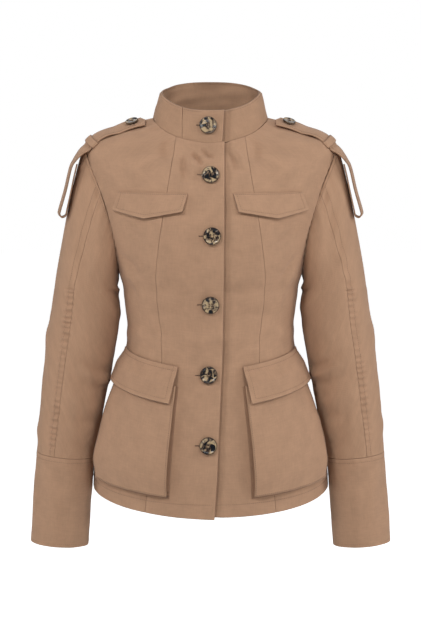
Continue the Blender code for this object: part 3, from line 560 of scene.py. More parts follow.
def body_relief(angle, level, side=1):
    """Folds of the body, for a panel drawn on the wearer's left and mirrored if side is -1."""
    angle, level = np.broadcast_arrays(angle, level)
    z = body_skin(angle, level)[..., 2]
    u = side * np.where(angle > math.pi, angle - TURN, angle) * GIRTH
    total = fold_heights(u, z, FRONT_LINES) + swells(u, z, *BODY_SWELLS)
    for turn in (-1, 0, 1):
        total = total + fold_heights(u + turn * TURN * GIRTH, z, BACK_LINES)
    armhole = np.abs(np.abs(angle) - edge_angle(level, True)) * GIRTH
    over = smooth((level - ARMPIT - 0.1) / 0.4) * smooth((TIP - 0.1 - level) / 0.4)
    total = total + over * puckered(armhole, z, *ARMHOLE_PUCKERS)
    return total * cloth_set().folds


def sleeve_relief(angle, along, side=1):
    """Folds of a sleeve and the puckers beside its seams."""
    angle, along = np.broadcast_arrays(angle, along)
    u, v = angle * ARM_ROUND, along * ARM_STEP + 0.004 * side
    total = sum(fold_heights(u + turn * TURN * ARM_ROUND, v, ARM_LINES) for turn in (-1, 0, 1))
    total = total + swells(np.cos(angle) * ARM_ROUND * 2.2 + 0.3 * side, v, *SLEEVE_SWELLS)
    above_cuff = smooth((CUFF_SEAM - 0.02 - along) / 0.2)
    for seam, way, height, seed in SLEEVE_PUCKERS:
        apart = (angle - seam) * way * ARM_ROUND
        beside = np.where(apart > 0, np.abs(apart - 0.005), 0.005 - apart * 2.5)
        ripple = puckered(beside, v + seed * side, SLEEVE_PUCKER_PITCH, SLEEVE_PUCKER_WIDTH, height, seed)
        total = total + above_cuff * ripple
    pitch, width, height, seed = HEAD_PUCKERS
    head = puckered(0 * u, u, pitch, width, height, seed * side)
    total = total + smooth((0.45 - (along + 1)) / 0.45) * head
    total = total + hump(along - CUFF_SEAM, 0.10) * puckered(0 * u, u, *CUFF_PUCKERS)
    return total * cloth_set().folds


def arm_ring(angle, at):
    """A ring of the arm's form at a place along it, and the way down the arm there."""
    cut = curve_through(ARM_TABLE, at)
    ahead = curve_through(ARM_TABLE, np.minimum(at + 0.01, CUFF_EDGE))
    behind = curve_through(ARM_TABLE, np.maximum(at - 0.01, 0))
    down = unit((ahead - behind)[..., :3] * (1, 0, 1))
    out = np.stack([-down[..., 2], 0 * down[..., 0], down[..., 0]], -1)
    spread = cut[..., 3:4] * np.cos(angle)[..., None] * out
    depth = cut[..., 4:5] * np.sin(angle)[..., None] * np.array([0, -1, 0])
    return cut[..., :3] + spread + depth, down


def armhole(angle):
    """The armhole's edge round the sleeve: angle 0 is the shoulder tip, a quarter turn the front."""
    reach = np.where(np.sin(angle) > 0, ARMHOLE_FRONT, ARMHOLE_BACK)
    level = ARMPIT + (TIP - ARMPIT) * (1 + np.cos(angle)) / 2
    return body_skin(math.pi / 2 - reach * np.sin(angle), level)


def sleeve_skin(angle, along):
    """The sleeve: along runs from -1 at the armhole, through 0, to the arm's sections."""
    angle, along = np.broadcast_arrays(angle, along)
    ring, down = arm_ring(angle, np.maximum(along, 0))
    top, ahead = np.cos(angle)[..., None], np.sin(angle)[..., None]
    leave = unit(LEAVE + top * LEAVE_TOP + ahead * LEAVE_FRONT + np.minimum(top, 0) * LEAVE_UNDER)
    start = armhole(angle) + leave * SLEEVE_GAP
    chord = np.linalg.norm(ring - start, axis=-1, keepdims=True)
    t = np.clip(along + 1, 0, 1)[..., None]
    head = (
        (2 * t**3 - 3 * t**2 + 1) * start
        + (t**3 - 2 * t**2 + t) * leave * chord * HEAD_START
        + (3 * t**2 - 2 * t**3) * ring
        + (t**3 - t**2) * down * chord * HEAD_END
    )
    return np.where(along[..., None] < 0, head, ring)


def sleeve_point(angle, along, out):
    angle, along, out = np.broadcast_arrays(angle, along, out)
    low = np.maximum(along - NEAR, -1)
    across = sleeve_skin(angle - NEAR, along) - sleeve_skin(angle + NEAR, along)
    down = sleeve_skin(angle, along + NEAR) - sleeve_skin(angle, low)
    return sleeve_skin(angle, along) + unit(np.cross(down, across)) * out[..., None]


def run_lengths(grid, axis):
    """Length along the grid's rows or columns, from their first point."""
    steps = np.linalg.norm(np.diff(grid, axis=axis), axis=-1)
    start = np.zeros_like(np.take(steps, [0], axis))
    return np.concatenate([start, np.cumsum(steps, axis)], axis)


def softened(grid, other, ring, soft):
    """The grid with its rims eased towards the other face, each as much as soft says."""
    eased = grid.copy()
    across = other - grid
    thick = np.linalg.norm(across, axis=-1, keepdims=True)
    every = slice(None)
    rims = [(0, 1), (-1, -2), ((every, 0), (every, 1)), ((every, -1), (every, -2))]
    for (near, far), much in zip(rims[:2] if ring else rims, soft):
        pull = unit(grid[far] - grid[near]) * thick[near] * RIM_PULL
        eased[near] += (pull + across[near] * RIM_SINK) * much
    return eased


def add_mesh(name, points, faces, finish, uv=None, edge=None):
    """A smooth object at the origin from arrays, with its flat pattern and its edges marked."""
    corners = points[faces]
    halves = np.concatenate([corners[:, [0, n, n + 1]] for n in range(1, faces.shape[1] - 1)])
    if np.einsum("ij,ij->i", halves[:, 0], np.cross(halves[:, 1], halves[:, 2])).sum() < 0:
        faces = faces[:, ::-1]
    faces = np.ascontiguousarray(faces, np.int32)
    count, corner_count = faces.shape
    mesh = bpy.data.meshes.new(name + PIECE)
    mesh.vertices.add(len(points))
    mesh.vertices.foreach_set("co", np.ascontiguousarray(points, np.float32).ravel())
    mesh.loops.add(faces.size)
    mesh.loops.foreach_set("vertex_index", faces.ravel())
    mesh.polygons.add(count)
    mesh.polygons.foreach_set("loop_start", np.arange(count, dtype=np.int32) * corner_count)
    mesh.polygons.foreach_set("use_smooth", np.ones(count, bool))
    if uv is not None:
        layer = mesh.uv_layers.new(name="cloth")
        layer.uv.foreach_set("vector", np.ascontiguousarray(uv[faces.ravel()], np.float32).ravel())
    if edge is not None:
        mark = mesh.attributes.new("edge", "FLOAT", "POINT")
        mark.data.foreach_set("value", np.ascontiguousarray(edge, np.float32))
    mesh.update()
    mesh.validate()
    mesh.materials.append(finish)
    return linked(name, mesh)


def linked(name, mesh):
    made = bpy.data.objects.new(name + PIECE, mesh)
    bpy.context.scene.collection.objects.link(made)
    return made


def shell(name, outer, inner, finish, side=1, ring=False, soft=(1, 1, 1, 1), deep=0.0):
    """One closed cloth piece between two grids of points, mirrored for the wearer's right.

    soft is how rounded its rims are: the first and last rows, then the first and last columns.
    The last argument marks the points that lie in a deep fold, where shade is painted into the colour as
    dark as on a seam.
    """
    rows, columns = outer.shape[:2]
    face = rows * columns
    index = np.arange(face).reshape(rows, columns)
    if ring:
        index = np.hstack([index, index[:, :1]])
        loops = [index[0], index[-1][::-1]]
    else:
        loops = [np.concatenate([index[0], index[1:, -1], index[-1, -2::-1], index[-2::-1, 0]])]
    quads = [np.stack([index[:-1, :-1], index[:-1, 1:], index[1:, 1:], index[1:, :-1]], -1).reshape(-1, 4)]
    quads.append(quads[0][:, ::-1] + face)
    across, up = run_lengths(outer, 1), run_lengths(outer, 0)
    across_all, up_all = across[:, -1:], up[-1:]
    flat = np.stack([across - across_all / 2, up], -1).reshape(-1, 2)
    near = np.minimum(up, up_all - up)
    if not ring:
        near = np.minimum(near, np.minimum(across, across_all - across))
    # The edge mark, raised in deep folds as well: it drives the painted highlight, the seam lines and the
    # painted shade of the cloth's colour
    edge = np.maximum(np.clip(1 - near / EDGE_WEAR_AND_SHADE, 0, 1), deep).ravel()
    middle = ((outer + inner) / 2).reshape(-1, 3)
    faces_of_cloth = ((outer, inner), (inner, outer))
    points = [softened(near, far, ring, soft).reshape(-1, 3) for near, far in faces_of_cloth]
    uvs, edges, start = [flat, flat], [edge, edge], 2 * face
    for loop in loops:
        ids, low = loop[:-1], loop + face
        rim = start + np.append(np.arange(len(ids)), 0)
        points.append(middle[ids])
        uvs.append(flat[ids])
        edges.append(np.ones(len(ids)))
        quads.append(np.stack([loop[1:], loop[:-1], rim[:-1], rim[1:]], -1))
        quads.append(np.stack([low[:-1], low[1:], rim[1:], rim[:-1]], -1))
        start += len(ids)
    points, quads = np.concatenate(points) * (side, 1, 1), np.concatenate(quads)
    return add_mesh(name, points, quads, finish, np.concatenate(uvs), np.concatenate(edges))


def solids_of(name):
    panel, _, word = name.rpartition("_")
    return [f"{panel}_{part}_{word}" for part in PARTS[panel]] if panel in PARTS else [name]


def dress(made, node):
    """The piece stands for its solids and rides with them."""
    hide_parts(*solids_of(node))
    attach(made, "root")
    return made


def sewn_piece(name, cut, outer, inner, side=1, rests_on=(), cloth="cotton_twill", **rims):
    """A closed cloth piece between an outer and an inner face, dressed for its solids."""
    colour = cloth_set().collar_colour if cloth == "collar_twill" else cloth_set().colour
    return dress(shell(name, outer, inner, twill(cloth, colour), side, **rims), name)


def group(name, inputs, outputs):
    """An empty shader node group with named sockets, and its in and out nodes."""
    made = bpy.data.node_groups.new(name, "ShaderNodeTree")
    for label, kind, value in inputs:
        socket = made.interface.new_socket(label, in_out="INPUT", socket_type=kind)
        socket.default_value = value
    for label, kind in outputs:
        made.interface.new_socket(label, in_out="OUTPUT", socket_type=kind)
    return made, made.nodes.new("NodeGroupInput").outputs, made.nodes.new("NodeGroupOutput").inputs


def feed(tree, socket, value):
    """Links a socket to another one, or gives it a plain value."""
    if isinstance(value, bpy.types.NodeSocket):
        tree.links.new(value, socket)
    else:
        socket.default_value = value


def math_node(tree, operation, *values):
    node = tree.nodes.new("ShaderNodeMath")
    node.operation = operation
    for socket, value in zip(node.inputs, values):
        feed(tree, socket, value)
    return node.outputs[0]


def mixed(tree, share, under, over, blend="MIX"):
    """Two colours mixed by a share."""
    node = tree.nodes.new("ShaderNodeMix")
    node.data_type, node.blend_type = "RGBA", blend
    for place, value in ((0, share), (6, under), (7, over)):
        feed(tree, node.inputs[place], value)
    return node.outputs[2]


def noise(tree, source, **settings):
    """A noise texture's factor, read at a vector."""
    node = tree.nodes.new("ShaderNodeTexNoise")
    for name, value in settings.items():
        node.inputs[name.capitalize()].default_value = value
    tree.links.new(source, node.inputs["Vector"])
    return node.outputs["Fac"]


def strands(tree, source, stretch):
    """Uneven yarns: noise drawn out along one way of the flat pattern."""
    drawn = tree.nodes.new("ShaderNodeVectorMath")
    drawn.operation = "MULTIPLY"
    feed(tree, drawn.inputs[0], source)
    feed(tree, drawn.inputs[1], stretch)
    return noise(tree, drawn.outputs[0], scale=1.0, detail=2.0, roughness=0.6)


def weave_group():
    """Diagonal ribs of a twill with uneven yarns, from the piece's own flat pattern."""
    name = "Twill weave"
    if name in bpy.data.node_groups:
        return bpy.data.node_groups[name]
    tree, given, result = group(
        name,
        [("Flat pattern", "NodeSocketVector", (0, 0, 0)), ("Ribs per metre", "NodeSocketFloat", 900.0)],
        [("Height", "NodeSocketFloat"), ("Yarn", "NodeSocketFloat"), ("Cloud", "NodeSocketFloat")],
    )
    flat = given["Flat pattern"]
    split = tree.nodes.new("ShaderNodeSeparateXYZ")
    feed(tree, split.inputs[0], flat)
    slant = math_node(tree, "ADD", split.outputs[0], math_node(tree, "MULTIPLY", split.outputs[1], 0.62))
    turns = math_node(tree, "MULTIPLY", slant, given["Ribs per metre"])
    warp, weft = strands(tree, flat, (460, 60, 1)), strands(tree, flat, (60, 460, 1))
    yarn = math_node(tree, "MULTIPLY", math_node(tree, "ADD", warp, weft), 0.5)
    ribs = math_node(tree, "SINE", math_node(tree, "MULTIPLY", turns, TURN))
    feed(tree, result["Height"], math_node(tree, "ADD", math_node(tree, "MULTIPLY", ribs, 0.5), yarn))
    feed(tree, result["Yarn"], yarn)
    feed(tree, result["Cloud"], noise(tree, flat, scale=34.0, detail=5.0, roughness=0.60))
    return tree


def cloth_wear_and_shade_group():
    """Cloth colour with yarn grain and soft clouds; edges lightened, partly as worn cloth and partly as a
    painted highlight, and seams and folds darkened as dark seam lines and painted shade.
    """
    name = "Cloth colour"
    if name in bpy.data.node_groups:
        return bpy.data.node_groups[name]
    tree, given, result = group(
        name,
        [
            ("Light", "NodeSocketColor", (0.5, 0.3, 0.2, 1)),
            ("Deep", "NodeSocketColor", (0.4, 0.25, 0.16, 1)),
            ("Yarn", "NodeSocketFloat", 0.5),
            ("Cloud", "NodeSocketFloat", 0.5),
            ("Edge", "NodeSocketFloat", 0.0),
        ],
        [("Colour", "NodeSocketColor"), ("Roughness", "NodeSocketFloat")],
    )
    grain = math_node(tree, "MULTIPLY_ADD", given["Yarn"], 2.6, -0.8)
    cloud = math_node(tree, "MULTIPLY_ADD", given["Cloud"], 3.0, -1.0)
    share = math_node(tree, "MULTIPLY_ADD", cloud, 0.45, math_node(tree, "MULTIPLY", grain, 0.55))
    # Edges lightened a little, partly as worn cloth and partly as a painted highlight
    rub_and_highlight = math_node(tree, "MULTIPLY", math_node(tree, "POWER", given["Edge"], 2.0), 0.07)
    # Seams, rims and marked folds darkened: dark seam lines, and painted shade in folds and seam valleys
    seam_and_fold_shade = math_node(tree, "MULTIPLY", math_node(tree, "POWER", given["Edge"], 18.0), 0.55)
    cloth = mixed(tree, share, given["Deep"], given["Light"])
    rubbed_and_lit = mixed(tree, rub_and_highlight, cloth, given["Light"], "SCREEN")
    feed(tree, result["Colour"], mixed(tree, seam_and_fold_shade, rubbed_and_lit, (0.34, 0.26, 0.22, 1), "MULTIPLY"))
    feed(tree, result["Roughness"], math_node(tree, "MULTIPLY_ADD", given["Yarn"], 0.10, 0.83))
    return tree


def new_material(name):
    """A new material, its node tree and its shader's inputs."""
    made = bpy.data.materials.new(name)
    made.use_nodes = True
    return made, made.node_tree, made.node_tree.nodes["Principled BSDF"].inputs


def mark_of(tree, name):
    """A piece's own attribute, such as how near a point is to its edge."""
    node = tree.nodes.new("ShaderNodeAttribute")
    node.attribute_name = name
    return node.outputs["Fac"]


def shade(colour, share):
    return (*(np.array(colour) * share), 1)


def twill(name, colour):
    """A finished cloth material: colour, roughness and bump come from the weave, and the colour also holds
    a painted highlight on edges and painted shade on seams and folds.
    """
    name = name + PIECE
    if name in bpy.data.materials:
        return bpy.data.materials[name]
    made, tree, finish = new_material(name)
    flat = tree.nodes.new("ShaderNodeUVMap")
    flat.uv_map = "cloth"
    weave, wear_and_shade = tree.nodes.new("ShaderNodeGroup"), tree.nodes.new("ShaderNodeGroup")
    weave.node_tree, wear_and_shade.node_tree = weave_group(), cloth_wear_and_shade_group()
    bump = tree.nodes.new("ShaderNodeBump")
    for socket, value in (
        (weave.inputs["Flat pattern"], flat.outputs["UV"]),
        (weave.inputs["Ribs per metre"], 620.0),
        (wear_and_shade.inputs["Light"], shade(colour, 1.13)),
        (wear_and_shade.inputs["Deep"], shade(colour, 0.87)),
        (wear_and_shade.inputs["Yarn"], weave.outputs["Yarn"]),
        (wear_and_shade.inputs["Cloud"], weave.outputs["Cloud"]),
        (wear_and_shade.inputs["Edge"], mark_of(tree, "edge")),
        (bump.inputs["Strength"], 0.35),
        (bump.inputs["Distance"], 0.00025),
        (bump.inputs["Height"], weave.outputs["Height"]),
        (finish["Base Color"], wear_and_shade.outputs["Colour"]),
        (finish["Roughness"], wear_and_shade.outputs["Roughness"]),
        (finish["Normal"], bump.outputs["Normal"]),
        (finish["Specular IOR Level"], 0.25),
        (finish["Sheen Weight"], 0.12),
        (finish["Sheen Roughness"], 0.5),
    ):
        feed(tree, socket, value)
    return made


def thread(name, colour):
    """Sewing thread, with a fine twist in its colour."""
    name = name + PIECE
    if name in bpy.data.materials:
        return bpy.data.materials[name]
    made, tree, finish = new_material(name)
    place = tree.nodes.new("ShaderNodeTexCoord")
    ramp = tree.nodes.new("ShaderNodeValToRGB")
    ramp.color_ramp.elements[0].color = shade(colour, 0.75)
    ramp.color_ramp.elements[1].color = shade(colour, 1.2)
    feed(tree, ramp.inputs["Fac"], noise(tree, place.outputs["Object"], scale=900.0))
    feed(tree, finish["Base Color"], ramp.outputs["Color"])
    finish["Roughness"].default_value = 0.6
    return made


def resin():
    """Polished mottled resin: cream, brown and near black in soft flames, with painted shade darkening its
    outer rim.
    """
    name = "mottled_button" + PIECE
    if name in bpy.data.materials:
        return bpy.data.materials[name]
    choice = bpy.context.scene.jacket_buttons
    made, tree, finish = new_material(name)
    place = tree.nodes.new("ShaderNodeTexCoord")
    ramp = tree.nodes.new("ShaderNodeValToRGB")
    stops = ramp.color_ramp.elements
    stops[0].position, stops[0].color = 0.43, (*choice.dark, 1)
    stops[1].position, stops[1].color = 0.59, (*choice.cream, 1)
    for position, colour in ((0.470, choice.brown), (0.520, choice.grey)):
        stops.new(position).color = (*colour, 1)
    mottle = noise(tree, place.outputs["Object"], scale=105.0, detail=2.0, distortion=1.2)
    feed(tree, ramp.inputs["Fac"], mottle)
    # Painted shade: the outer rim darkened towards brown
    painted_rim_shade = math_node(tree, "MULTIPLY", mark_of(tree, "rim"), 0.85)
    feed(tree, finish["Base Color"], mixed(tree, painted_rim_shade, ramp.outputs["Color"], (*choice.brown, 1)))
    finish["Roughness"].default_value = 0.22
    finish["Specular IOR Level"].default_value = 0.35
    finish["Coat Weight"].default_value = 0.12
    finish["Coat Roughness"].default_value = 0.08
    return made


def steps_for(size):
    return max(int(round(size / cloth_set().mesh_step)), 4) + 1


def shares_for(size):
    """Shares along a length of cloth, closer together beside both of its seams."""
    close = np.array(SEAM_STEPS) / size
    inside = np.linspace(close[-1], 1 - close[-1], steps_for(size))
    return np.concatenate([close[:-1], inside, 1 - close[-2::-1]])


def body_rows():
    """Levels from the hem to the neck, evenly spaced along the cloth."""
    fine = np.linspace(0, NECK, 600)
    line = body_skin(np.full(fine.shape, ROW_ANGLE), fine)
    run = run_lengths(line[:, None], 0)[:, 0]
    return np.interp(shares_for(run[-1]) * run[-1], run, fine)[:, None]


def body_point(angle, level, out, side=1):
    """A point on the body's cloth: its form, its folds and a lift, all on the wearer's left."""
    return moved_out(body_skin, angle, level, body_relief(angle, level, side) + out)


def seam_dip(share, width):
    """How far the cloth sinks beside the long seams at both ends of a panel."""
    return -SEAM_DIP * hump(np.minimum(share, 1 - share) * width, SEAM_DIP_WIDTH)


def body_piece(name, angles, levels, lift, soft, side=1, drop=0.0):
    """A body panel: its cloth lies on the form, lifted, and lowered by drop."""
    down = np.stack(np.broadcast_arrays(0.0, 0.0, 0 * angles - drop), -1)
    relief = body_relief(angles, levels, side) + lift
    outer, inner = (
        moved_out(body_skin, angles, levels, relief - sink) + down for sink in (0.0, cloth_set().wall)
    )
    cut = name if "centre" in name else name.rpartition("_")[0]
    return sewn_piece(name, cut, outer, inner, side, soft=soft)


def make_body():
    levels = body_rows()
    seam, lap = column(levels, "seam_front"), column(levels, "lap")
    front_seam, front_edge = angle_of(seam, levels), edge_angle(levels, True)
    back_seam = math.pi - angle_of(column(levels, "seam_back"), levels)
    back_edge = edge_angle(levels, False)
    share = shares_for(SIDE_PANEL)
    dip = seam_dip(share, SIDE_PANEL)
    for side, word in SIDES:
        angles = front_seam + (front_edge - front_seam) * share
        body_piece(f"front_side_{word}", angles, levels, dip, (1, SEAM, SEAM, FIRM), side)
        angles = back_edge + (back_seam - back_edge) * share
        body_piece(f"back_side_{word}", angles, levels, dip, (1, SEAM, FIRM, SEAM), side)
    share = shares_for(BACK_PANEL)
    angles = math.pi - angle_of((2 * share - 1) * column(levels, "seam_back"), levels)
    body_piece("back_centre", angles, levels, seam_dip(share, BACK_PANEL), (1, SEAM, SEAM, SEAM))

    heights = body_skin(0.0, levels)[..., 2]
    share = shares_for(CENTRE_PANEL)
    dip = np.where(share > 0.5, seam_dip(share, CENTRE_PANEL), 0)
    between_buttons = np.sin(math.pi * (heights - FRONT_BUTTONS[2][1]) / BUTTON_SPACING) ** 2
    gape = hump(share * (seam + lap), LAP_EDGE_WIDTH) * (LAP_GAPE + BUTTON_GAPE * between_buttons)
    drop = FRONT_DROP * (1 - share) * (1 - smooth(levels / FRONT_DROP_LEVELS))
    angles = angle_of(-lap + (seam + lap) * share, levels)
    body_piece("front_centre_right", angles, levels, dip + gape, (1, SEAM, 1, SEAM), -1, drop)
    x = -UNDERLAP + (seam + UNDERLAP) * share
    sunk = LAP_STEP * (1 - smooth((x - lap - LAP_EASE[0]) / LAP_EASE[1]))
    uneven = 1 - LAP_SWELL[0] + swells(0 * heights, heights, LAP_SWELL)
    hollow = LAP_HOLLOW * hump(x - lap, LAP_HOLLOW_WIDTH) * uneven
    body_piece("front_centre_left", angle_of(x, levels), levels, dip - sunk - hollow, (1, SEAM, 1, SEAM))


def sleeve_faces(angles, along, relief, wall):
    return sleeve_point(angles, along, relief), sleeve_point(angles, along, relief - wall)


def make_sleeves():
    head, arm = shares_for(HEAD_LENGTH) - 1, shares_for(ARM_LENGTH) * CUFF_SEAM
    along = np.concatenate([head[head < -0.02], arm])[:, None]
    share = shares_for(SLEEVE_PANEL)
    ends = {
        "sleeve_top": (SEAM_ANGLE_BACK - TURN, SEAM_ANGLE_FRONT),
        "sleeve_under": (SEAM_ANGLE_FRONT, SEAM_ANGLE_BACK),
    }
    for side, word in SIDES:
        for name, (start, end) in ends.items():
            angles = start + (end - start) * share
            relief = sleeve_relief(angles, along, side) + seam_dip(share, SLEEVE_PANEL)
            faces = sleeve_faces(angles, along, relief * smooth((along + 1) / 0.03), cloth_set().wall)
            soft = (FIRM, SEAM, SEAM, SEAM)
            sewn_piece(f"{name}_{word}", name, *faces, side, [f"front_side_{word}"], soft=soft)


def make_cuffs():
    share = shares_for(CUFF_LENGTH)[:, None]
    along = CUFF_SEAM + (CUFF_EDGE - CUFF_SEAM) * share
    angles = np.linspace(0, TURN, steps_for(CUFF_ROUND))[:-1]
    apart = (along - CUFF_SEAM) * CUFF_STEP
    band = 0.0005 * smooth(apart / 0.0015) - 0.0004 * hump(apart - 0.0075, 0.0012)
    for side, word in SIDES:
        lift = sleeve_relief(angles, along, side) + band
        faces = sleeve_faces(angles, along, lift, cloth_set().double_wall)
        sewn_piece(f"cuff_{word}", "cuff", *faces, side, [f"sleeve_top_{word}"], ring=True, soft=(0.6, 1))


def collar_relief(angle, up):
    u, v = angle * COLLAR_ROUND, up * COLLAR_HIGH
    behind = np.maximum(-np.cos(angle), 0) * smooth(up / 0.4)
    total = swells(u, v, *COLLAR_SWELLS) + swells(u * 0.6, v, COLLAR_BACK_SWELL) * behind
    top_roll = -0.0009 * smooth((up - 0.93) / 0.07)
    return (total + top_roll - 0.0003 * hump(up - 0.94, 0.02)) * cloth_set().folds


def collar_point(angle, up, out):
    return moved_out(collar_skin, angle, up, collar_relief(angle, up) + out)


def collar_piece(name, angles, lift, soft):
    """A piece of the stand collar. Its back tucks down into the body, so no light gets through."""
    up = shares_for(COLLAR_HIGH)[:, None]
    up = up - COLLAR_TUCK * (1 - smooth(up / 0.2)) * smooth(-np.cos(angles) / 0.3)
    outer = collar_point(angles, up, lift)
    inner = collar_point(angles, up, lift - cloth_set().double_wall)
    return sewn_piece(name, name, outer, inner, 1, ["back_centre"], "collar_twill", soft=soft)


def make_collar():
    tab_seam, under = -angle_of(TAB_SEAM, NECK), -angle_of(COLLAR_UNDERLAP, NECK)
    lap = angle_of(COLLAR_LAP, NECK)
    share = shares_for(TAB_WIDTH)
    lift = 0.0008 * hump((1 - share) * TAB_WIDTH, 0.008)
    collar_piece("collar_tab", tab_seam + (lap - tab_seam) * share, lift, (SEAM, 1, SEAM, 1))
    angles = under + (TURN + tab_seam - under) * shares_for(COLLAR_LENGTH)
    sink = (cloth_set().double_wall + cloth_set().clear) * (1 - smooth((angles - lap - 0.03) / 0.14))
    hollow = 0.0020 * hump(angles - lap, 0.10)
    collar_piece("collar_band", angles, -sink - hollow, (SEAM, 1, 1, SEAM))


def between(corners, across, down):
    """A point of a four-cornered piece, as (across, down) shares, from its top inner corner."""
    top_in, top_out, low_in, low_out = (
        np.array(corners[name]) for name in ("top_in", "top_out", "low_in", "low_out")
    )
    across, down = np.broadcast_arrays(across, down)
    across, down = across[..., None], down[..., None]
    top = top_in + (top_out - top_in) * across
    low = low_in + (low_out - low_in) * across
    return top + (low - top) * down


def from_rims(across, down, size):
    """Distance to the nearest side or lower rim of a flap or pocket of this size."""
    return np.minimum(np.minimum(across, 1 - across) * size[0], (1 - down) * size[1])


def sewn_edge(apart, inset):
    """Thicker cloth between an edge and its stitching, and a small valley on the stitches."""
    return 0.0004 * (1 - smooth((apart - inset) / 0.0015)) - 0.00035 * hump(apart - inset, 0.0011)


def chest_flap_point(across, down, out, side=1):
    spot = between(CHEST_FLAP, across, down)
    (in_x, in_z), (out_x, out_z) = CHEST_FLAP["low_in"], CHEST_FLAP["low_out"]
    point_x, point_z = CHEST_FLAP["point"]
    share = (point_x - in_x) / (out_x - in_x)
    peak = np.minimum(across / share, (1 - across) / (1 - share))
    spot[..., 1] += (point_z - in_z - (out_z - in_z) * share) * peak * down
    angle, level = spot_on_front(spot[..., 0], spot[..., 1])
    return body_point(angle, level, out, side)


def chest_flap_lift(across, down):
    sewn = sewn_edge(from_rims(across, down, CHEST_FLAP_SIZE), CHEST_STITCH)
    curl = 0.0008 * smooth((down - 0.6) / 0.4) * np.cos(across * 9.0)
    return cloth_set().clear + 0.0034 * down**1.5 + sewn + curl


def make_chest_flaps():
    across, down = np.meshgrid(shares_for(0.130), shares_for(0.045))
    lift = chest_flap_lift(across, down)
    for side, word in SIDES:
        outer = chest_flap_point(across, down, lift + cloth_set().flap_wall, side)
        inner = chest_flap_point(across, down, lift, side)
        rests_on = [f"front_centre_{word}"]
        sewn_piece(f"chest_flap_{word}", "chest_flap", outer, inner, side, rests_on, soft=(SEAM, 1, 1, 1))


def on_front(corners, across, down):
    """Angle and level of a point of a piece whose corners are (degrees, height)."""
    spot = between(corners, across, down)
    angle = np.radians(spot[..., 0])
    return angle, level_of(angle, spot[..., 1])


def hip_flap_lift(across, down):
    lift = POCKET_FOOT + (POCKET_OUT_TOP + cloth_set().clear) * smooth(down / 0.55) + 0.0007 * down
    sewn = sewn_edge(from_rims(across, down, HIP_FLAP_SIZE), HIP_STITCH)
    wave = 0.0010 * smooth((down - 0.5) / 0.5) * np.sin(across * 7.5 + 0.6)
    return lift + sewn - 0.0004 * hump(down - 0.12, 0.02) + wave


def make_hip_flaps():
    across, down = np.meshgrid(shares_for(0.150), shares_for(0.066))
    angle, level = on_front(HIP_FLAP, across, down)
    lift = hip_flap_lift(across, down)
    for side, word in SIDES:
        outer = body_point(angle, level, lift + cloth_set().flap_wall, side)
        inner = body_point(angle, level, lift, side)
        rests_on = [f"hip_pocket_{word}"]
        sewn_piece(f"hip_flap_{word}", "hip_flap", outer, inner, side, rests_on, soft=(SEAM, 1, 1, 1))


def pocket_edges(size, low_only=False):
    """Shares across the pocket with the bellows on its edges, and the lift share of each."""
    out, lift = np.array(BELLOWS).T
    inside = np.linspace(0, 1, steps_for(size))[1:-1]
    first, first_lift = ([0], [1]) if low_only else (out / size, lift)
    shares = np.concatenate([first, inside, 1 - out[::-1] / size])
    return shares, np.concatenate([first_lift, np.ones(len(inside)), lift[::-1]])


def pocket_lift(across, down, share, side):
    """How far the pocket's cloth stands off the body: share is 1 on its face, 0 where it is sewn on."""
    face = POCKET_OUT_TOP + (POCKET_OUT_LOW - POCKET_OUT_TOP) * smooth(down / 0.8)
    face = face - POCKET_CLOSE * smooth((down - 0.82) / 0.18)
    hollow = -0.0012 * hump(across - 0.5, 0.35) * hump(down - 0.35, 0.3)
    u, v = across * 0.15, down * 0.17
    wave = swells(u + side, v, POCKET_SWELL) + swells(u, v, POCKET_RIPPLE)
    sewn = sewn_edge(np.maximum(from_rims(across, down, POCKET_SIZE), 0), POCKET_STITCH)
    return POCKET_FOOT + (face - POCKET_FOOT + hollow + wave + sewn) * share


def make_hip_pockets():
    (u, u_lift), (v, v_lift) = pocket_edges(POCKET_SIZE[0]), pocket_edges(POCKET_SIZE[1], True)
    across, down = np.meshgrid(u, v)
    share = np.minimum(*np.meshgrid(u_lift, v_lift))
    angle, level = on_front(HIP_POCKET, np.clip(across, -0.05, 1.05), np.clip(down, 0, 1.05))
    # The bellows' fold gets painted shade, as dark as a seam
    deep = smooth((0.95 - share) / 0.2)
    for side, word in SIDES:
        lift = pocket_lift(across, down, share, side)
        outer = body_point(angle, level, lift, side)
        inner = body_point(angle, level, np.maximum(lift - cloth_set().wall, 0.0003), side)
        rests_on = [f"front_side_{word}"]
        sewn_piece(f"hip_pocket_{word}", "hip_pocket", outer, inner, side, rests_on, deep=deep)


def strap_rows(levels, across, out):
    """Rows of a strip on the shoulder: its middle leans forward as it nears the neck."""
    share = (levels - STRAP_LEVELS[1]) / (STRAP_LEVELS[0] - STRAP_LEVELS[1])
    centre = STRAP_ANGLES[1] + (STRAP_ANGLES[0] - STRAP_ANGLES[1]) * share
    near, far = body_skin(centre - 0.02, levels), body_skin(centre + 0.02, levels)
    per_metre = 0.04 / np.linalg.norm(far - near, axis=-1)
    angle = centre[:, None] + across * per_metre[:, None]
    near_end = smooth((levels - STRAP_POINT_FROM) / STRAP_POINT_EASE)[:, None]
    level = levels[:, None] - STRAP_POINT * np.abs(across) / STRAP_HALF * near_end
    return moved_out(body_skin, angle, level, out)


def strap_hang(across):
    """A row of points across the strap for each place named in the table of its hanging loop."""
    x, y, z, turn, tilt, bow = np.array(list(STRAP_HANG.values())).T
    turn, tilt = np.radians(turn), np.radians(tilt)
    centre = np.stack([x, y, z], -1)
    way = np.stack([np.sin(turn) * np.cos(tilt), np.cos(turn) * np.cos(tilt), np.sin(tilt)], -1)
    outward = unit(np.cross(np.gradient(centre, axis=0), way))
    fall = bow[:, None] * MM * (across / STRAP_HALF) ** 2
    return centre[:, None] + across[:, None] * way[:, None] - fall[..., None] * outward[:, None]


